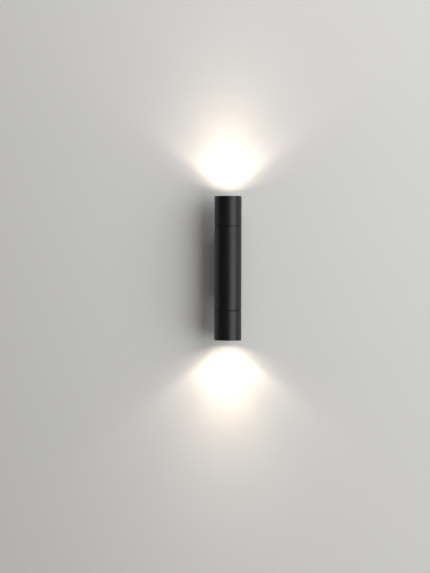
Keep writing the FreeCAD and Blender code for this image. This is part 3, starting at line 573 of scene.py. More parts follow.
@dataclass(frozen=True)
class RubbedThread(Finish):
    """Matt black metal whose thread is rubbed bare on its crests.

    Attributes:
        bare: colour of the bare metal.
    """

    bare: Colour = (0.42, 0.42, 0.43)

    def surface(self, tree: Tree, shader: Node, effects: EffectLibrary) -> Socket:
        """Mix black and bare metal by the crest value that the mesh carries."""
        grain = effects.use(tree, Effect.GRAIN, Waves=2400.0, Fineness=7000.0)
        crest = tree.carried("crest")
        ragged = tree.math("MULTIPLY_ADD", grain["Height"], 0.5, crest)
        bare = tree.math("MULTIPLY", tree.ramp(ragged, 1.0, 1.3, 0.0, 0.8), crest)
        black = tree.blend(grain["Cloud"], scaled(self.colour, 0.8), self.colour)
        tree.feed_named(shader, Metallic=bare)
        return tree.dress(shader, tree.blend(bare, black, self.bare),
                          tree.ramp(bare, 0.0, 0.8, self.roughness, 0.42),
                          tree.bump(grain["Height"], 0.03 * MM, 0.4))


@dataclass(frozen=True)
class BareMetal(Finish):
    """Plated, drawn or turned metal, with fine lines, blotches and rubbed edges.

    Attributes:
        tarnish: colour of the blotches.
        rubbed: colour along the edges.
        lines: how many lines go to a metre.
        height: full height of the lines.
    """

    tarnish: Colour = (0.45, 0.46, 0.47)
    rubbed: Colour = (0.8, 0.8, 0.8)
    lines: float = 5000.0
    height: float = 0.02 * MM

    def surface(self, tree: Tree, shader: Node, effects: EffectLibrary) -> Socket:
        """Mix the metal, its tarnish and its rubbed edges."""
        drawn = effects.use(tree, Effect.DRAWN, Lines=self.lines)
        edge = effects.use(tree, Effect.EDGE, Width=0.25 * MM, Patches=700.0)["Mask"]
        stained = tree.ramp(drawn["Blotch"], 0.36, 0.74, 0.0, 0.7)
        metal = tree.blend(stained, self.colour, self.tarnish)
        streaky = self.uneven(tree, drawn["Height"], 0.06, 0.08)
        tree.feed_named(shader, Metallic=1.0)
        return tree.dress(shader, tree.blend(edge, metal, self.rubbed),
                          tree.math("MULTIPLY_ADD", stained, 0.08, streaky),
                          tree.bump(drawn["Height"], self.height, 0.4))


@dataclass(frozen=True)
class OxideSteel(Finish):
    """Blackened steel, brown where it is rubbed through.

    Attributes:
        rubbed: colour along the edges.
    """

    rubbed: Colour = (0.16, 0.14, 0.13)

    def surface(self, tree: Tree, shader: Node, effects: EffectLibrary) -> Socket:
        """Mix the oxide and its rubbed edges over turning lines."""
        drawn = effects.use(tree, Effect.DRAWN, Lines=7000.0, Blotches=900.0)
        edge = effects.use(tree, Effect.EDGE, Width=0.3 * MM, Patches=1300.0)["Mask"]
        oxide = tree.blend(drawn["Blotch"], scaled(self.colour, 0.7), self.colour)
        tree.feed_named(shader, Metallic=0.6)
        return tree.dress(shader, tree.blend(edge, oxide, self.rubbed),
                          self.uneven(tree, drawn["Blotch"], 0.06, 0.08),
                          tree.bump(drawn["Height"], 0.01 * MM, 0.4))


@dataclass(frozen=True)
class Speckled(Finish):
    """Ceramic or moulded plastic: an even body with faint specks, pits and a little dust.

    Attributes:
        speck: colour of the specks.
        specks: how many cells of specks go to a metre.
        height: full depth of the pits.
        glow: weight of the light that goes through under the surface.
        dust: colour of the dust.
    """

    speck: Colour = (0.5, 0.47, 0.42)
    specks: float = 1400.0
    height: float = 0.04 * MM
    glow: float = 0.0
    dust: Colour = (0.45, 0.43, 0.4)

    def surface(self, tree: Tree, shader: Node, effects: EffectLibrary) -> Socket:
        """Mix the body and its specks, with pits in the normal."""
        speckle = effects.use(tree, Effect.SPECKLE, Scale=self.specks)
        pits = speckle["Pits"]
        dust = effects.use(tree, Effect.DUST, Amount=0.12)["Mask"]
        body = tree.blend(tree.ramp(pits, 0.35, 0.65), self.colour, scaled(self.colour, 1.06))
        spotted = tree.blend(speckle["Dots"], body, self.speck)
        if self.glow > 0:
            tree.feed_named(shader, Subsurface_Weight=self.glow, Subsurface_Scale=1.5 * MM)
        return tree.dress(shader, tree.blend(dust, spotted, self.dust),
                          self.uneven(tree, pits, 0.05, 0.06), tree.bump(pits, self.height, 0.35))


@dataclass(frozen=True)
class SoftRubber(Finish):
    """Moulded rubber or silicone: satin, with a grey bloom in patches.

    Attributes:
        bloom: colour of the bloom.
    """

    bloom: Colour = (0.09, 0.09, 0.09)

    def surface(self, tree: Tree, shader: Node, effects: EffectLibrary) -> Socket:
        """Mix the rubber and its bloom, with a fine mould grain."""
        grain = effects.use(tree, Effect.GRAIN, Waves=1800.0, Fineness=6000.0, Share=0.6)
        bloom = tree.ramp(grain["Cloud"], 0.4, 0.7)
        return tree.dress(shader, tree.blend(bloom, self.colour, self.bloom),
                          self.uneven(tree, grain["Cloud"], 0.05, 0.08),
                          tree.bump(grain["Height"], 0.03 * MM, 0.5))


@dataclass(frozen=True)
class WireSleeve(Finish):
    """The plastic sleeve of a lead, with a second colour along one side if it has one.

    Attributes:
        stripe: the second colour, or None.
        side: the way that the second colour faces.
    """

    stripe: Colour | None = None
    side: tuple[float, float, float] = (0.8, 0.5, 0.33)

    def surface(self, tree: Tree, shader: Node, effects: EffectLibrary) -> Socket:
        """Mix the sleeve's colours by the side that the surface faces."""
        grain = effects.use(tree, Effect.GRAIN, Waves=700.0, Fineness=3000.0, Share=0.3)
        sleeve = tree.blend(grain["Cloud"], scaled(self.colour, 0.8), self.colour)
        if self.stripe is not None:
            facing = tree.vector("DOT_PRODUCT", tree.add("TexCoord").outputs["Normal"], self.side)
            sleeve = tree.blend(tree.ramp(facing, -0.04, 0.04), sleeve, self.stripe)
        return tree.dress(shader, sleeve, self.uneven(tree, grain["Cloud"], 0.04, 0.06),
                          tree.bump(grain["Height"], 0.02 * MM, 0.4))


@dataclass(frozen=True)
class ClearGlass(Finish):
    """Toughened glass with faint smears. Rays from lamps pass straight through it."""

    def surface(self, tree: Tree, shader: Node, effects: EffectLibrary) -> Socket:
        """Make the glass, and let shadow rays through."""
        smear = tree.ramp(tree.noise(tree.place(), 160.0, 3.0), 0.5, 0.75, self.roughness,
                          self.roughness + 0.05)
        tree.feed_named(shader, Roughness=smear, Transmission_Weight=1.0, IOR=1.52)
        return tree.clear_where(tree.add("LightPath").outputs["Is Shadow Ray"], shader.outputs[0])


@dataclass(frozen=True)
class LitLens(Finish):
    """The lamp's lens while it shines: brightest over the chip and in each small lens.

    Attributes:
        light: colour of the light.
        strength: how bright the whole lens is.
    """

    light: Colour = (1.0, 0.80, 0.55)
    strength: float = 1.8

    def surface(self, tree: Tree, shader: Node, effects: EffectLibrary) -> Socket:
        """Make the glow from the two values that the lens's mesh carries."""
        beads = tree.ramp(tree.carried("cell"), 0.15, 1.0, 1.0, 0.35)
        spread = tree.ramp(tree.carried("reach"), 0.1, 1.0, 1.0, 0.4)
        lit = tree.math("MULTIPLY", beads, spread)
        haze = self.uneven(tree, tree.noise(tree.place(), 500.0), 0.0, 0.08)
        tree.feed_named(shader, Emission_Color=tree.blend(lit, scaled(self.light, 0.3), self.light),
                        Emission_Strength=self.strength, Roughness=haze)
        return shader.outputs[0]


@dataclass(frozen=True)
class LightBoard(Finish):
    """The white light board, with a copper ring under its mask and the yellow chip.

    Attributes:
        chip: colour of the chip's phosphor.
        track: colour of the copper that shows through the mask.
        cloud: the mask's second colour.
        track_in: inner radius of the copper ring.
        track_out: its outer radius.
        chip_half: half the chip's side.
        soft: width over which the ring's edges fade.
    """

    chip: Colour = (0.85, 0.62, 0.12)
    track: Colour = (0.62, 0.60, 0.52)
    cloud: Colour = (0.78, 0.78, 0.76)
    track_in: float = 12.0 * MM
    track_out: float = 16.0 * MM
    chip_half: float = 2.5 * MM
    soft: float = 0.2 * MM

    def surface(self, tree: Tree, shader: Node, effects: EffectLibrary) -> Socket:
        """Mix mask, track and chip by the distance from the tube's axis."""
        low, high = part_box("upper_lamp_board")
        axis = 0.5 * (low + high)
        place = tree.vector("SUBTRACT", tree.place(), (axis.x, axis.y, 0.0))
        split = tree.add("SeparateXYZ", place).outputs
        away = tree.off_axis(place)
        inside = tree.ramp(away, self.track_in, self.track_in + self.soft)
        outside = tree.ramp(away, self.track_out - self.soft, self.track_out, 1.0, 0.0)
        pits = effects.use(tree, Effect.SPECKLE, Scale=2000.0)["Pits"]
        board = tree.blend(tree.math("MULTIPLY", inside, outside),
                           tree.blend(pits, self.colour, self.cloud), self.track)
        square = tree.math("MAXIMUM", *(tree.math("ABSOLUTE", split[name]) for name in "XY"))
        chip = tree.ramp(square, self.chip_half, self.chip_half + 0.1 * self.soft, 1.0, 0.0)
        tree.feed_named(shader, Base_Color=tree.blend(chip, board, self.chip),
                        Normal=tree.bump(pits, 0.02 * MM, 0.3))
        return shader.outputs[0]


class FinishBook:
    """The light's finishes by the names of the record's material slots."""

    def __init__(self) -> None:
        """List the finishes and note each node's slot."""
        self.effects = EffectLibrary()
        self.made: dict[str, bpy.types.Material] = {}
        self.slots = {part["node"]: part["material_slot"] for part in frame["record"]["subparts"]}
        self.finishes: dict[str, Finish] = {
            "black_coat": PowderCoat("Black powder coat", (0.0082, 0.0082, 0.0083), 0.39, 0.42),
            # The collar is darker and rougher than the coat: partly its own matt finish, partly
            # painted shade for the deep shadow gap where it shows.
            "matt_black": RubbedThread("Matt black collar", (0.005, 0.005, 0.005), 0.78, 0.25),
            "black_steel": OxideSteel("Blackened screw", (0.035, 0.034, 0.034), 0.38),
            "zinc": BareMetal("Zinc plate", (0.66, 0.68, 0.69), 0.34),
            "brass": BareMetal("Turned brass", (0.80, 0.58, 0.25), 0.30,
                               tarnish=(0.52, 0.36, 0.16), rubbed=(0.9, 0.7, 0.38)),
            "bronze": BareMetal("Spring bronze", (0.70, 0.43, 0.25), 0.32,
                                tarnish=(0.45, 0.26, 0.15), rubbed=(0.85, 0.58, 0.38)),
            "ceramic": Speckled("Lampholder ceramic", (0.78, 0.75, 0.68), 0.55),
            "lamp_white": Speckled("White lamp shell", (0.80, 0.80, 0.78), 0.32,
                                   speck=(0.7, 0.7, 0.68), height=0.015 * MM, glow=0.1),
            "block_plastic": Speckled("Natural nylon", (0.74, 0.73, 0.66), 0.42,
                                      speck=(0.6, 0.58, 0.5), height=0.02 * MM, glow=0.4),
            "bush_plastic": Speckled("Black nylon", (0.025, 0.025, 0.026), 0.44,
                                     speck=(0.05, 0.05, 0.05), height=0.02 * MM),
            "seal_rubber": SoftRubber("Black rubber", (0.022, 0.022, 0.022), 0.58,
                                      bloom=(0.045, 0.045, 0.045)),
            "silicone": SoftRubber("Grey silicone", (0.62, 0.62, 0.60), 0.42,
                                   bloom=(0.70, 0.70, 0.68)),
            "glass": ClearGlass("Clear cover glass", (0.93, 0.96, 0.95), 0.0),
            "lamp_lens": LitLens("Lit lens", (0.80, 0.76, 0.68), 0.12),
            "board": LightBoard("Light board", (0.84, 0.84, 0.82), 0.4),
            "brown_wire": WireSleeve("Brown sleeve", (0.15, 0.055, 0.025), 0.36),
            "blue_wire": WireSleeve("Blue sleeve", (0.02, 0.11, 0.42), 0.36),
            "earth_wire": WireSleeve("Green and yellow sleeve", (0.05, 0.30, 0.04), 0.36,
                                     stripe=(0.85, 0.68, 0.03)),
        }

    def material(self, slot: str) -> bpy.types.Material:
        """The slot's material, built when it is first asked for."""
        if slot not in self.made:
            self.made[slot] = self.finishes[slot].material(self.effects)
        return self.made[slot]

    def dress_node(self, node: str) -> None:
        """Give a node that keeps its own mesh the finish of its slot."""
        slot = self.slots[node]
        for place in frame["nodes"][node].material_slots:
            place.material = self.material(slot)
        log.info("%s keeps its shape, in %s", node, self.finishes[slot].title)

    def dress_piece(self, piece: bpy.types.Object, node: str, body: str,
                    finish: str | None = None) -> None:
        """Finish a new piece that stands for a node, and let it ride.

        Args:
            piece: the new piece.
            node: the node that it replaces.
            body: the body that it moves with.
            finish: the finish's name, if it isn't the node's slot.
        """
        slot = self.slots[node]
        piece.data.materials.append(self.material(finish or slot))
        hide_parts(node)
        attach(piece, body)
        log.info("%s replaces %s: %d faces, in %s", piece.name, node,
                 len(piece.data.polygons), self.finishes[finish or slot].title)


# The light's sub-assemblies

@dataclass
class PlainNodes:
    """A sub-assembly whose pieces all keep their own shapes.

    Attributes:
        book: the finishes.
        nodes: the pieces' names.
    """

    book: FinishBook
    nodes: tuple[str, ...] = ()

    def build(self) -> None:
        """Dress each piece."""
        for node in self.nodes:
            self.book.dress_node(node)


@dataclass
class WallMount(PlainNodes):
    """The bracket on the wall, the box that slides over it and what locks and seals them."""

    nodes: tuple[str, ...] = ("wall_bracket", "wall_box", "box_lock_screws", "cable_grommet")


@dataclass
class Wiring(PlainNodes):
    """The terminal block, the earth fixings and the leads in the box."""

    nodes: tuple[str, ...] = (
        "terminal_block", "terminal_barrels", "terminal_screws", "terminal_fixing_screw",
        "earth_screw", "earth_tags", "tube_earth_lead", "bracket_earth_lead",
        "upper_line_lead", "upper_neutral_lead", "lower_line_lead", "lower_neutral_lead")


@dataclass
class MiddleTube(PlainNodes):
    """The tube and what holds it to the box."""

    nodes: tuple[str, ...] = ("body_tube", "saddle_screws", "nut_plate", "feed_bush")


@dataclass
class EndSizes:
    """Sizes that the turned pieces of one end share, read from the upper end's nodes.

    Attributes:
        slip: air between a thread or spigot and its bore.
        hood_pitch: pitch of the thread between hood and collar.
    """

    slip: float = 0.1 * MM
    hood_pitch: float = 1.5 * MM
    axis_y: float = field(init=False)
    tube_r: float = field(init=False)
    bore_r: float = field(init=False)

    def __post_init__(self) -> None:
        """Read the axis, the tube's radius and the bore."""
        low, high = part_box("upper_hood")
        self.axis_y = 0.5 * (low.y + high.y)
        self.tube_r = 0.5 * (high.x - low.x)
        ring_low, ring_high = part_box("upper_glass_ring")
        self.bore_r = 0.5 * (ring_high.x - ring_low.x) + self.slip


@dataclass
class EndPart:
    """A sub-assembly of one end of the light.

    Attributes:
        end: which end of the light.
        book: the finishes.
        sizes: the sizes that it shares with its neighbours.
        kept: the pieces that keep their own shapes.
    """

    end: End
    book: FinishBook
    sizes: EndSizes
    kept: tuple[str, ...] = ()

    def build(self) -> None:
        """Dress the pieces that keep their own shapes."""
        for name in self.kept:
            self.book.dress_node(self.end.node(name))

    def turned_ring(self, name: str, radius: np.ndarray, height: np.ndarray) -> bpy.types.Object:
        """A ring at this end, from its radius at each row and angle and each row's height."""
        grid = self.end.place(turned_grid(radius, height, self.sizes.axis_y))
        return ring_object(self.end.node(name), grid)


@dataclass
class Collar(EndPart):
    """The collar that joins a hood to the tube, with a real thread on both spigots."""

    flange_h: float = 1.3 * MM
    flange_drop: float = 11.6 * MM
    wall: float = 2.6 * MM
    web_w: float = 6.8 * MM
    web_t: float = 2.5 * MM
    groove_up: float = 0.4 * MM
    groove_h: float = 1.6 * MM
    groove_depth: float = 1.25 * MM
    thread_depth: float = 0.75 * MM
    row: float = 0.08 * MM
    round_small: float = 0.12 * MM

    def outline(self) -> np.ndarray:
        """The closed outline, from the web's lower inner corner outwards and up."""
        low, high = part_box("upper_collar")
        spigot = self.sizes.bore_r - self.sizes.slip
        bore = spigot - self.wall
        flange = 0.5 * (high.x - low.x)
        flange_low = low.z + self.flange_drop
        flange_high = flange_low + self.flange_h
        groove = flange_high + self.groove_up
        soft = self.round_small
        corners = [
            Corner(bore - self.web_w, low.z, soft),
            Corner(spigot, low.z, 3 * soft),
            Corner(spigot, flange_low, soft),
            Corner(flange, flange_low, soft),
            Corner(flange, flange_high, soft),
            Corner(spigot, flange_high, soft),
            Corner(spigot, groove, soft),
            Corner(spigot - self.groove_depth, groove, soft),
            Corner(spigot - self.groove_depth, groove + self.groove_h, soft),
            Corner(spigot, groove + self.groove_h, soft),
            Corner(spigot, high.z, 3 * soft),
            Corner(bore, high.z, soft),
            Corner(bore, low.z + self.web_t, soft),
            Corner(bore - self.web_w, low.z + self.web_t, soft),
        ]
        rows = rounded_outline(corners)
        margin = 6 * soft
        self.upper_thread = (groove + self.groove_h + margin, high.z - margin)
        self.lower_thread = (low.z + margin, flange_low - margin)
        rows = dense_stretch(rows, *self.upper_thread, spigot, self.row)
        return dense_stretch(rows, *self.lower_thread, spigot, 2 * self.row)

    def build(self) -> None:
        """Turn the outline and cut the thread.

        The thread takes depth * thread_cut off the radius of the spigots, fading out over half
        a pitch at both ends of each thread.
        """
        sizes = self.sizes
        rows = self.outline()
        height = rows[:, 1:]
        wave = thread_cut(height, sizes.hood_pitch)
        on_spigot = abs(rows[:, :1] - (sizes.bore_r - sizes.slip)) < ALIKE
        strength = sum(fade(height, low, high, sizes.hood_pitch / 2)
                       for low, high in (self.upper_thread, self.lower_thread))
        radius = rows[:, :1] - self.thread_depth * wave * strength * on_spigot
        piece = self.turned_ring("collar_threaded", radius, height)
        point_values(piece, "crest", ((1 - wave) * strength * on_spigot).ravel())
        # The collar takes the darker matt finish, which paints shade into the shadow gap.
        self.book.dress_piece(piece, self.end.node("collar"), "root", "matt_black")


@dataclass
class LampHolder(EndPart):
    """The ceramic lampholder on its strap, with its contacts, and the collar's seal."""

    kept: tuple[str, ...] = ("seal_ring", "holder_strap", "strap_screws", "lampholder",
                             "holder_screws", "contacts")


@dataclass
class Lamp(EndPart):
    """The lamp that twists into the lampholder, with a lens of many small lenses.

    Attributes:
        cell: distance between the small lenses.
        sag: height of a small lens.
    """

    kept: tuple[str, ...] = ("lamp_base", "lamp_pins", "lamp_shell", "lamp_board")
    cell: float = 3.4 * MM
    sag: float = 0.55 * MM
    rim: float = 1.6 * MM
    flange: float = 2.7 * MM
    neck_r: float = 5.0 * MM
    cone_r: float = 19.8 * MM

    def cells(self, x: np.ndarray, y: np.ndarray) -> np.ndarray:
        """How far each point is from the middle of its small lens, from 0 to 1 at the corner.

        The middles are two rectangular lattices, cell wide and cell times the root of 3 high, the
        second shifted by half of both. The nearer middle counts.
        """
        tall = self.cell * math.sqrt(3)
        nearest = np.full(x.shape, np.inf)
        for shift in (0.0, 0.5):
            across = x / self.cell - shift
            along = y / tall - shift
            across = (across - np.round(across)) * self.cell
            along = (along - np.round(along)) * tall
            nearest = np.minimum(nearest, np.hypot(across, along))
        return nearest / (self.cell / math.sqrt(3))

    def lens(self) -> bpy.types.Object:
        """The lens: a flange over a cone, its front raised into caps of sag * (1 - d * d)."""
        low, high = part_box("upper_lamp_lens")
        outer = 0.5 * (high.x - low.x)
        field_r = outer - self.rim
        back = high.z - self.flange
        front_r = np.linspace(0.2 * MM, field_r, 76)
        front = np.stack([front_r, np.full_like(front_r, high.z)], axis=1)
        side = np.array([
            (field_r + 0.1 * MM, high.z), (outer - 0.25 * MM, high.z), (outer, high.z - 0.25 * MM),
            (outer, back + 0.1 * MM), (outer - 0.1 * MM, back), (self.cone_r + 0.1 * MM, back),
            (self.cone_r, back - 0.1 * MM), (self.neck_r + 0.1 * MM, low.z + 0.1 * MM),
            (self.neck_r, low.z), (0.5 * self.neck_r, low.z)])
        rows = np.concatenate([front, side])
        grid = turned_grid(rows[:, :1], rows[:, 1:], self.sizes.axis_y,
                           2 * ROUND_STEPS)
        distance = self.cells(grid[..., 0], grid[..., 1] - self.sizes.axis_y)
        radius = np.hypot(grid[..., 0], grid[..., 1] - self.sizes.axis_y)
        in_front = np.arange(len(grid))[:, None] < len(front)
        cap = self.sag * (1 - np.clip(distance, 0, 1) ** 2)
        sunk = np.clip((field_r - radius) / (0.4 * MM), 0, 1) * in_front
        grid[..., 2] -= (self.sag - cap) * sunk
        piece = capped_object(self.end.node("lens_of_cells"), self.end.place(grid))
        for name, values, middles in (("cell", np.where(in_front, distance, 1.0), (0.0, 1.0)),
                                      ("reach", radius / outer, (0.0, 0.0))):
            point_values(piece, name, np.append(values, middles))
        return piece

    def build(self) -> None:
        """Make the lens and dress the rest of the lamp."""
        self.book.dress_piece(self.lens(), self.end.node("lamp_lens"), self.end.node("lamp"))
        super().build()


@dataclass
class Hood(EndPart):
    """The screw-off hood with its cover glass, gasket and retaining ring."""

    kept: tuple[str, ...] = ("hood_gasket", "hood_glass", "glass_ring")
    rim_round: float = 0.8 * MM
    edge_break: float = 0.2 * MM
    ledge_w: float = 2.6 * MM
    ledge_t: float = 1.5 * MM
    ring_pitch: float = 1.0 * MM
    ring_thread_depth: float = 0.38 * MM
    thread_depth: float = 0.55 * MM
    lead_in: float = 0.8 * MM
    row: float = 0.08 * MM

    def outline(self) -> np.ndarray:
        """The closed outline, from the lower outer edge up, over the rim and down the bore."""
        low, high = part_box("upper_hood")
        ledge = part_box("upper_hood_gasket")[0].z
        tube, bore = self.sizes.tube_r, self.sizes.bore_r
        soft = 0.12 * MM
        corners = [
            Corner(tube, low.z, self.edge_break),
            Corner(tube, high.z, self.rim_round),
            Corner(bore, high.z, self.edge_break),
            Corner(bore, ledge, soft),
            Corner(bore - self.ledge_w, ledge, soft),
            Corner(bore - self.ledge_w, ledge - self.ledge_t, soft),
            Corner(bore, ledge - self.ledge_t, soft),
            Corner(bore, low.z, soft),
        ]
        self.ring_thread = (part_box("upper_hood_glass")[0].z, high.z - self.lead_in)
        collar_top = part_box("upper_collar")[1].z
        self.hood_thread = (low.z + self.lead_in, collar_top + self.lead_in)
        rows = rounded_outline(corners)
        rows = dense_stretch(rows, *self.ring_thread, bore, self.row)
        return dense_stretch(rows, *self.hood_thread, bore, 2 * self.row)

    def build(self) -> None:
        """Turn the outline, cut both threads into the bore and dress the hood's pieces.

        Each thread adds depth * thread_cut to the radius of the bore and fades out over half a
        pitch at its ends.
        """
        rows = self.outline()
        height = rows[:, 1:]
        in_bore = abs(rows[:, :1] - self.sizes.bore_r) < ALIKE
        radius = np.repeat(rows[:, :1], ROUND_STEPS, axis=1)
        for stretch, pitch, depth in (
                (self.ring_thread, self.ring_pitch, self.ring_thread_depth),
                (self.hood_thread, self.sizes.hood_pitch, self.thread_depth)):
            wave = thread_cut(height, pitch)
            radius += depth * wave * fade(height, *stretch, pitch / 2) * in_bore
        piece = self.turned_ring("hood_threaded", radius, height)
        self.book.dress_piece(piece, self.end.node("hood"), self.end.node("hood"))
        super().build()


# The stage

@dataclass
class Camera:
    """The camera of the photograph, which looks level and square at the wall.

    Attributes:
        distance: from the tube's axis.
        right: to the right of the tube's middle.
        up: above the tube's middle.
        lens: focal length, in millimetres, on a frame whose long side is 36 mm.
        roll: how far the camera leans, in degrees.
    """

    distance: float = 5.396
    right: float = -0.0283
    up: float = -0.0401
    lens: float = 153.8
    roll: float = 0.15

    def build(self, axis_y: float) -> None:
        """Create the camera and make it the scene's own."""
        data = bpy.data.cameras.new("Camera")
        data.sensor_width = 36.0
        data.lens = self.lens
        camera = into_scene("Camera", data)
        camera.location = (self.right, axis_y - self.distance, self.up)
        camera.rotation_euler = (math.pi / 2, -math.radians(self.roll), 0.0)
        bpy.context.scene.camera = camera


@dataclass(frozen=True)
class Beam:
    """One part of a lamp's light, which shines along the tube.

    Attributes:
        name: what the part is called.
        power: its power in watts.
        spread: the full angle that it shines into, in degrees.
        colour: its colour.
        blend: softness of the cone's edge, from 0 to 1, or None for a disc that fades out.
    """

    name: str
    power: float
    spread: float
    colour: Colour
    blend: float | None = None


@dataclass(frozen=True)
class Panel:
    """A soft box of the studio.

    Attributes:
        name: what it is called.
        place: where its middle is.
        aim: the point that it faces.
        size: its width and height.
        power: its power in watts.
        spread: the full angle of its grid, in degrees; 180 is no grid.
    """

    name: str
    place: tuple[float, float, float]
    aim: tuple[float, float, float]
    size: tuple[float, float]
    power: float
    spread: float


@dataclass
class Studio:
    """The pale wall and floor, the dim front of the room, the key light and the lamps' light.

    Attributes:
        sizes: the sizes of the light's ends.
    """

    sizes: EndSizes
    wall_half_w: float = 0.72
    wall_half_h: float = 0.88
    wall_back: float = 0.6 * MM
    opening_inset: float = 1.6 * MM
    wall_colour: Colour = (0.80, 0.80, 0.795)
    floor_drop: float = 2.3
    floor_r: float = 2.4
    room_r: float = 7.0
    room_level: float = 0.165
    room_tint: Colour = (1.0, 0.94, 0.885)
    hollow_level: float = 0.04
    hollow_azimuth: float = -25.0
    hollow_inner: float = 20.0
    hollow_outer: float = 60.0
    pale: Colour = (0.74, 0.74, 0.74)
    floor_cloud: Colour = (0.78, 0.78, 0.77)
    panels: tuple[Panel, ...] = (
        Panel("Key", (2.26, -2.18, 0.74), (0.0, 0.0, 0.9), (3.0, 5.6), 64.0, 120.0),
        Panel("Wash", (0.1, -1.6, 2.0), (0.0, 0.0, 0.7), (2.4, 1.2), 11.0, 180.0),
    )
    disc_r: float = 21.0 * MM
    disc_lift: float = 0.8 * MM
    bulb_r: float = 6.0 * MM
    lower_share: float = 1.22
    beams: tuple[Beam, ...] = (
        Beam("core", 0.062, 66.0, (1.0, 0.78, 0.54)),
        Beam("cone", 0.50, 114.0, (1.0, 0.86, 0.72), 0.36),
        Beam("spill", 0.17, 152.0, (1.0, 0.80, 0.58)),
    )

    def staged(self, name: str, points: np.ndarray, faces: np.ndarray,
               material: bpy.types.Material) -> bpy.types.Object:
        """Make a piece of the stage.

        Args:
            name: its name.
            points: its vertices, shaped (..., 3).
            faces: its faces, already turned the right way.
            material: its material.

        Returns:
            The object.
        """
        mesh = bpy.data.meshes.new(name)
        mesh.from_pydata(points.reshape(-1, 3).tolist(), [], faces.tolist())
        mesh.materials.append(material)
        mesh.update()
        piece = into_scene(name, mesh)
        log.info("stage: %s", name)
        return piece

    def wall(self) -> None:
        """The painted wall behind the light, open behind the wall box and clear from behind.

        Its points are a lattice of four on a side, and the face in the middle is left out.
        """
        side = 4
        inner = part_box("wall_box")[1]
        across, up = ([-half, self.opening_inset - reach, reach - self.opening_inset, half]
                      for half, reach in ((self.wall_half_w, inner.x), (self.wall_half_h, inner.z)))
        grid_x, grid_z = np.meshgrid(across, up)
        points = np.stack([grid_x, np.full_like(grid_x, self.wall_back), grid_z], axis=2)
        faces = (side - 1) ** 2
        row, column = np.divmod(np.delete(np.arange(faces), faces // 2), side - 1)
        start = row * side + column
        quads = np.stack([start, start + 1, start + side + 1, start + side], axis=1)
        made, tree, output = blank_material("Wall paint")
        shader = tree.feed_named(tree.add("BsdfPrincipled"), Roughness=0.9)
        roller = tree.noise(tree.place(), 260.0, 4.0)
        cloud = tree.noise(tree.place(), 6.0, 3.0)
        tree.feed_named(
            shader, Base_Color=tree.blend(cloud, scaled(self.wall_colour, 0.985), self.wall_colour),
            Normal=tree.bump(roller, 0.3 * MM, 0.25))
        behind = tree.add("NewGeometry").outputs["Backfacing"]
        tree.feed(output, tree.clear_where(behind, shader.outputs[0]))
        self.staged("Wall", points, quads, made)

    def floor(self) -> None:
        """A pale round floor far below, which thins out towards its edge."""
        steps = 96
        angle = np.linspace(0, 2 * math.pi, steps, endpoint=False)
        ring = self.floor_r * np.stack([np.cos(angle), np.sin(angle), np.zeros(steps)], axis=1)
        made, tree, output = blank_material("Pale floor")
        cloud = tree.blend(tree.noise(tree.place(), 3.0, 3.0), self.floor_cloud, self.pale)
        shader = tree.feed_named(tree.add("BsdfPrincipled"), Roughness=0.8, Base_Color=cloud)
        thin = tree.ramp(tree.off_axis(tree.place()), 0.4 * self.floor_r, 0.98 * self.floor_r)
        tree.feed(output, tree.clear_where(thin, shader.outputs[0]))
        self.staged("Floor", ring - (0.0, 0.0, self.floor_drop), np.arange(steps)[None, :], made)

    def room(self) -> None:
        """The dim front half of the room, a half ball round the light that no camera sees.

        A point at angle a from the way to the camera and angle t round it lies at radius times
        (sin a cos t, -cos a, sin a sin t).
        """
        rows, columns = 24, 72
        away = np.linspace(0.01, math.pi / 2, rows)[:, None]
        around = np.linspace(0, 2 * math.pi, columns, endpoint=False)[None, :]
        points = self.room_r * np.stack([
            np.sin(away) * np.cos(around), -np.cos(away) * np.ones_like(around),
            np.sin(away) * np.sin(around)], axis=2)
        made, tree, output = blank_material("Dim room")
        turn = math.radians(self.hollow_azimuth)
        middle = (math.sin(turn), -math.cos(turn), 0.0)
        near = tree.vector("DOT_PRODUCT", tree.vector("NORMALIZE", tree.place()), middle)
        level = tree.ramp(near, math.cos(math.radians(self.hollow_outer)),
                          math.cos(math.radians(self.hollow_inner)),
                          self.room_level, self.hollow_level)
        shares = (tree.math("MULTIPLY", level, share) for share in self.room_tint)
        tint = tree.add("CombineColor", *shares).outputs[0]
        tree.feed(output, tree.add("Emission", tint).outputs[0])
        made.cycles.emission_sampling = "NONE"
        self.staged("Room", points, grid_faces(rows, columns, False), made).visible_camera = False

    def world(self) -> None:
        """A plain pale world."""
        made = bpy.data.worlds.new("Pale world")
        bpy.context.scene.world = made
        made.use_nodes = True
        made.node_tree.nodes["Background"].inputs["Color"].default_value = (*self.pale, 1.0)

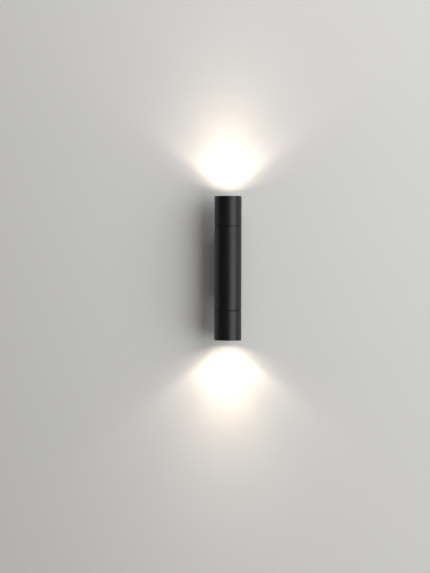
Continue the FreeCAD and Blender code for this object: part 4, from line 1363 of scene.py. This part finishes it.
    def soft_box(self, panel: Panel) -> None:
        """One soft box, which lights the scene but isn't seen."""
        data = bpy.data.lights.new(panel.name, "AREA")
        data.shape = "RECTANGLE"
        data.size, data.size_y = panel.size
        data.energy = panel.power
        data.spread = math.radians(panel.spread)
        box = into_scene(panel.name, data)
        box.location = panel.place
        way = Vector(panel.place) - Vector(panel.aim)
        box.rotation_euler = way.to_track_quat("Z", "Y").to_euler()
        box.visible_camera = False

    def lamp_light(self, end: End) -> None:
        """The light of one lamp: sources just over its lens, seen only by what they light."""
        lens_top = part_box("upper_lamp_lens")[1].z
        for beam in self.beams:
            name = end.node("beam_" + beam.name)
            lift = self.disc_lift
            if beam.blend is None:
                data = bpy.data.lights.new(name, "AREA")
                data.shape = "DISK"
                data.size = 2 * self.disc_r
                data.spread = math.radians(beam.spread)
            else:
                data = bpy.data.lights.new(name, "SPOT")
                data.shadow_soft_size = self.bulb_r
                data.spot_size = math.radians(beam.spread)
                data.spot_blend = beam.blend
                lift += self.bulb_r
            data.energy = beam.power * (self.lower_share if end is End.LOWER else 1.0)
            data.color = beam.colour
            lamp = into_scene(name, data)
            lamp.location = end.place(np.array((0.0, self.sizes.axis_y, lens_top + lift)))
            lamp.rotation_euler = (math.pi if end is End.UPPER else 0.0, 0.0, 0.0)
            lamp.visible_camera = lamp.visible_glossy = lamp.visible_transmission = False

    def build(self) -> None:
        """Set the stage up."""
        self.wall()
        self.floor()
        self.room()
        self.world()
        for panel in self.panels:
            self.soft_box(panel)
        for end in End:
            self.lamp_light(end)
        bpy.context.scene.view_settings.view_transform = "Standard"


def main() -> None:
    """Build the light's looks in order, and the stage round it."""
    logging.basicConfig(level=logging.INFO, format="%(name)s: %(message)s")
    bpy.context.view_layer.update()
    book = FinishBook()
    sizes = EndSizes()
    Camera().build(sizes.axis_y)
    WallMount(book).build()
    Wiring(book).build()
    MiddleTube(book).build()
    for end in End:
        for part in (Collar, LampHolder, Lamp, Hood):
            part(end, book, sizes).build()
    Studio(sizes).build()


if __name__ == "__main__":
    main()
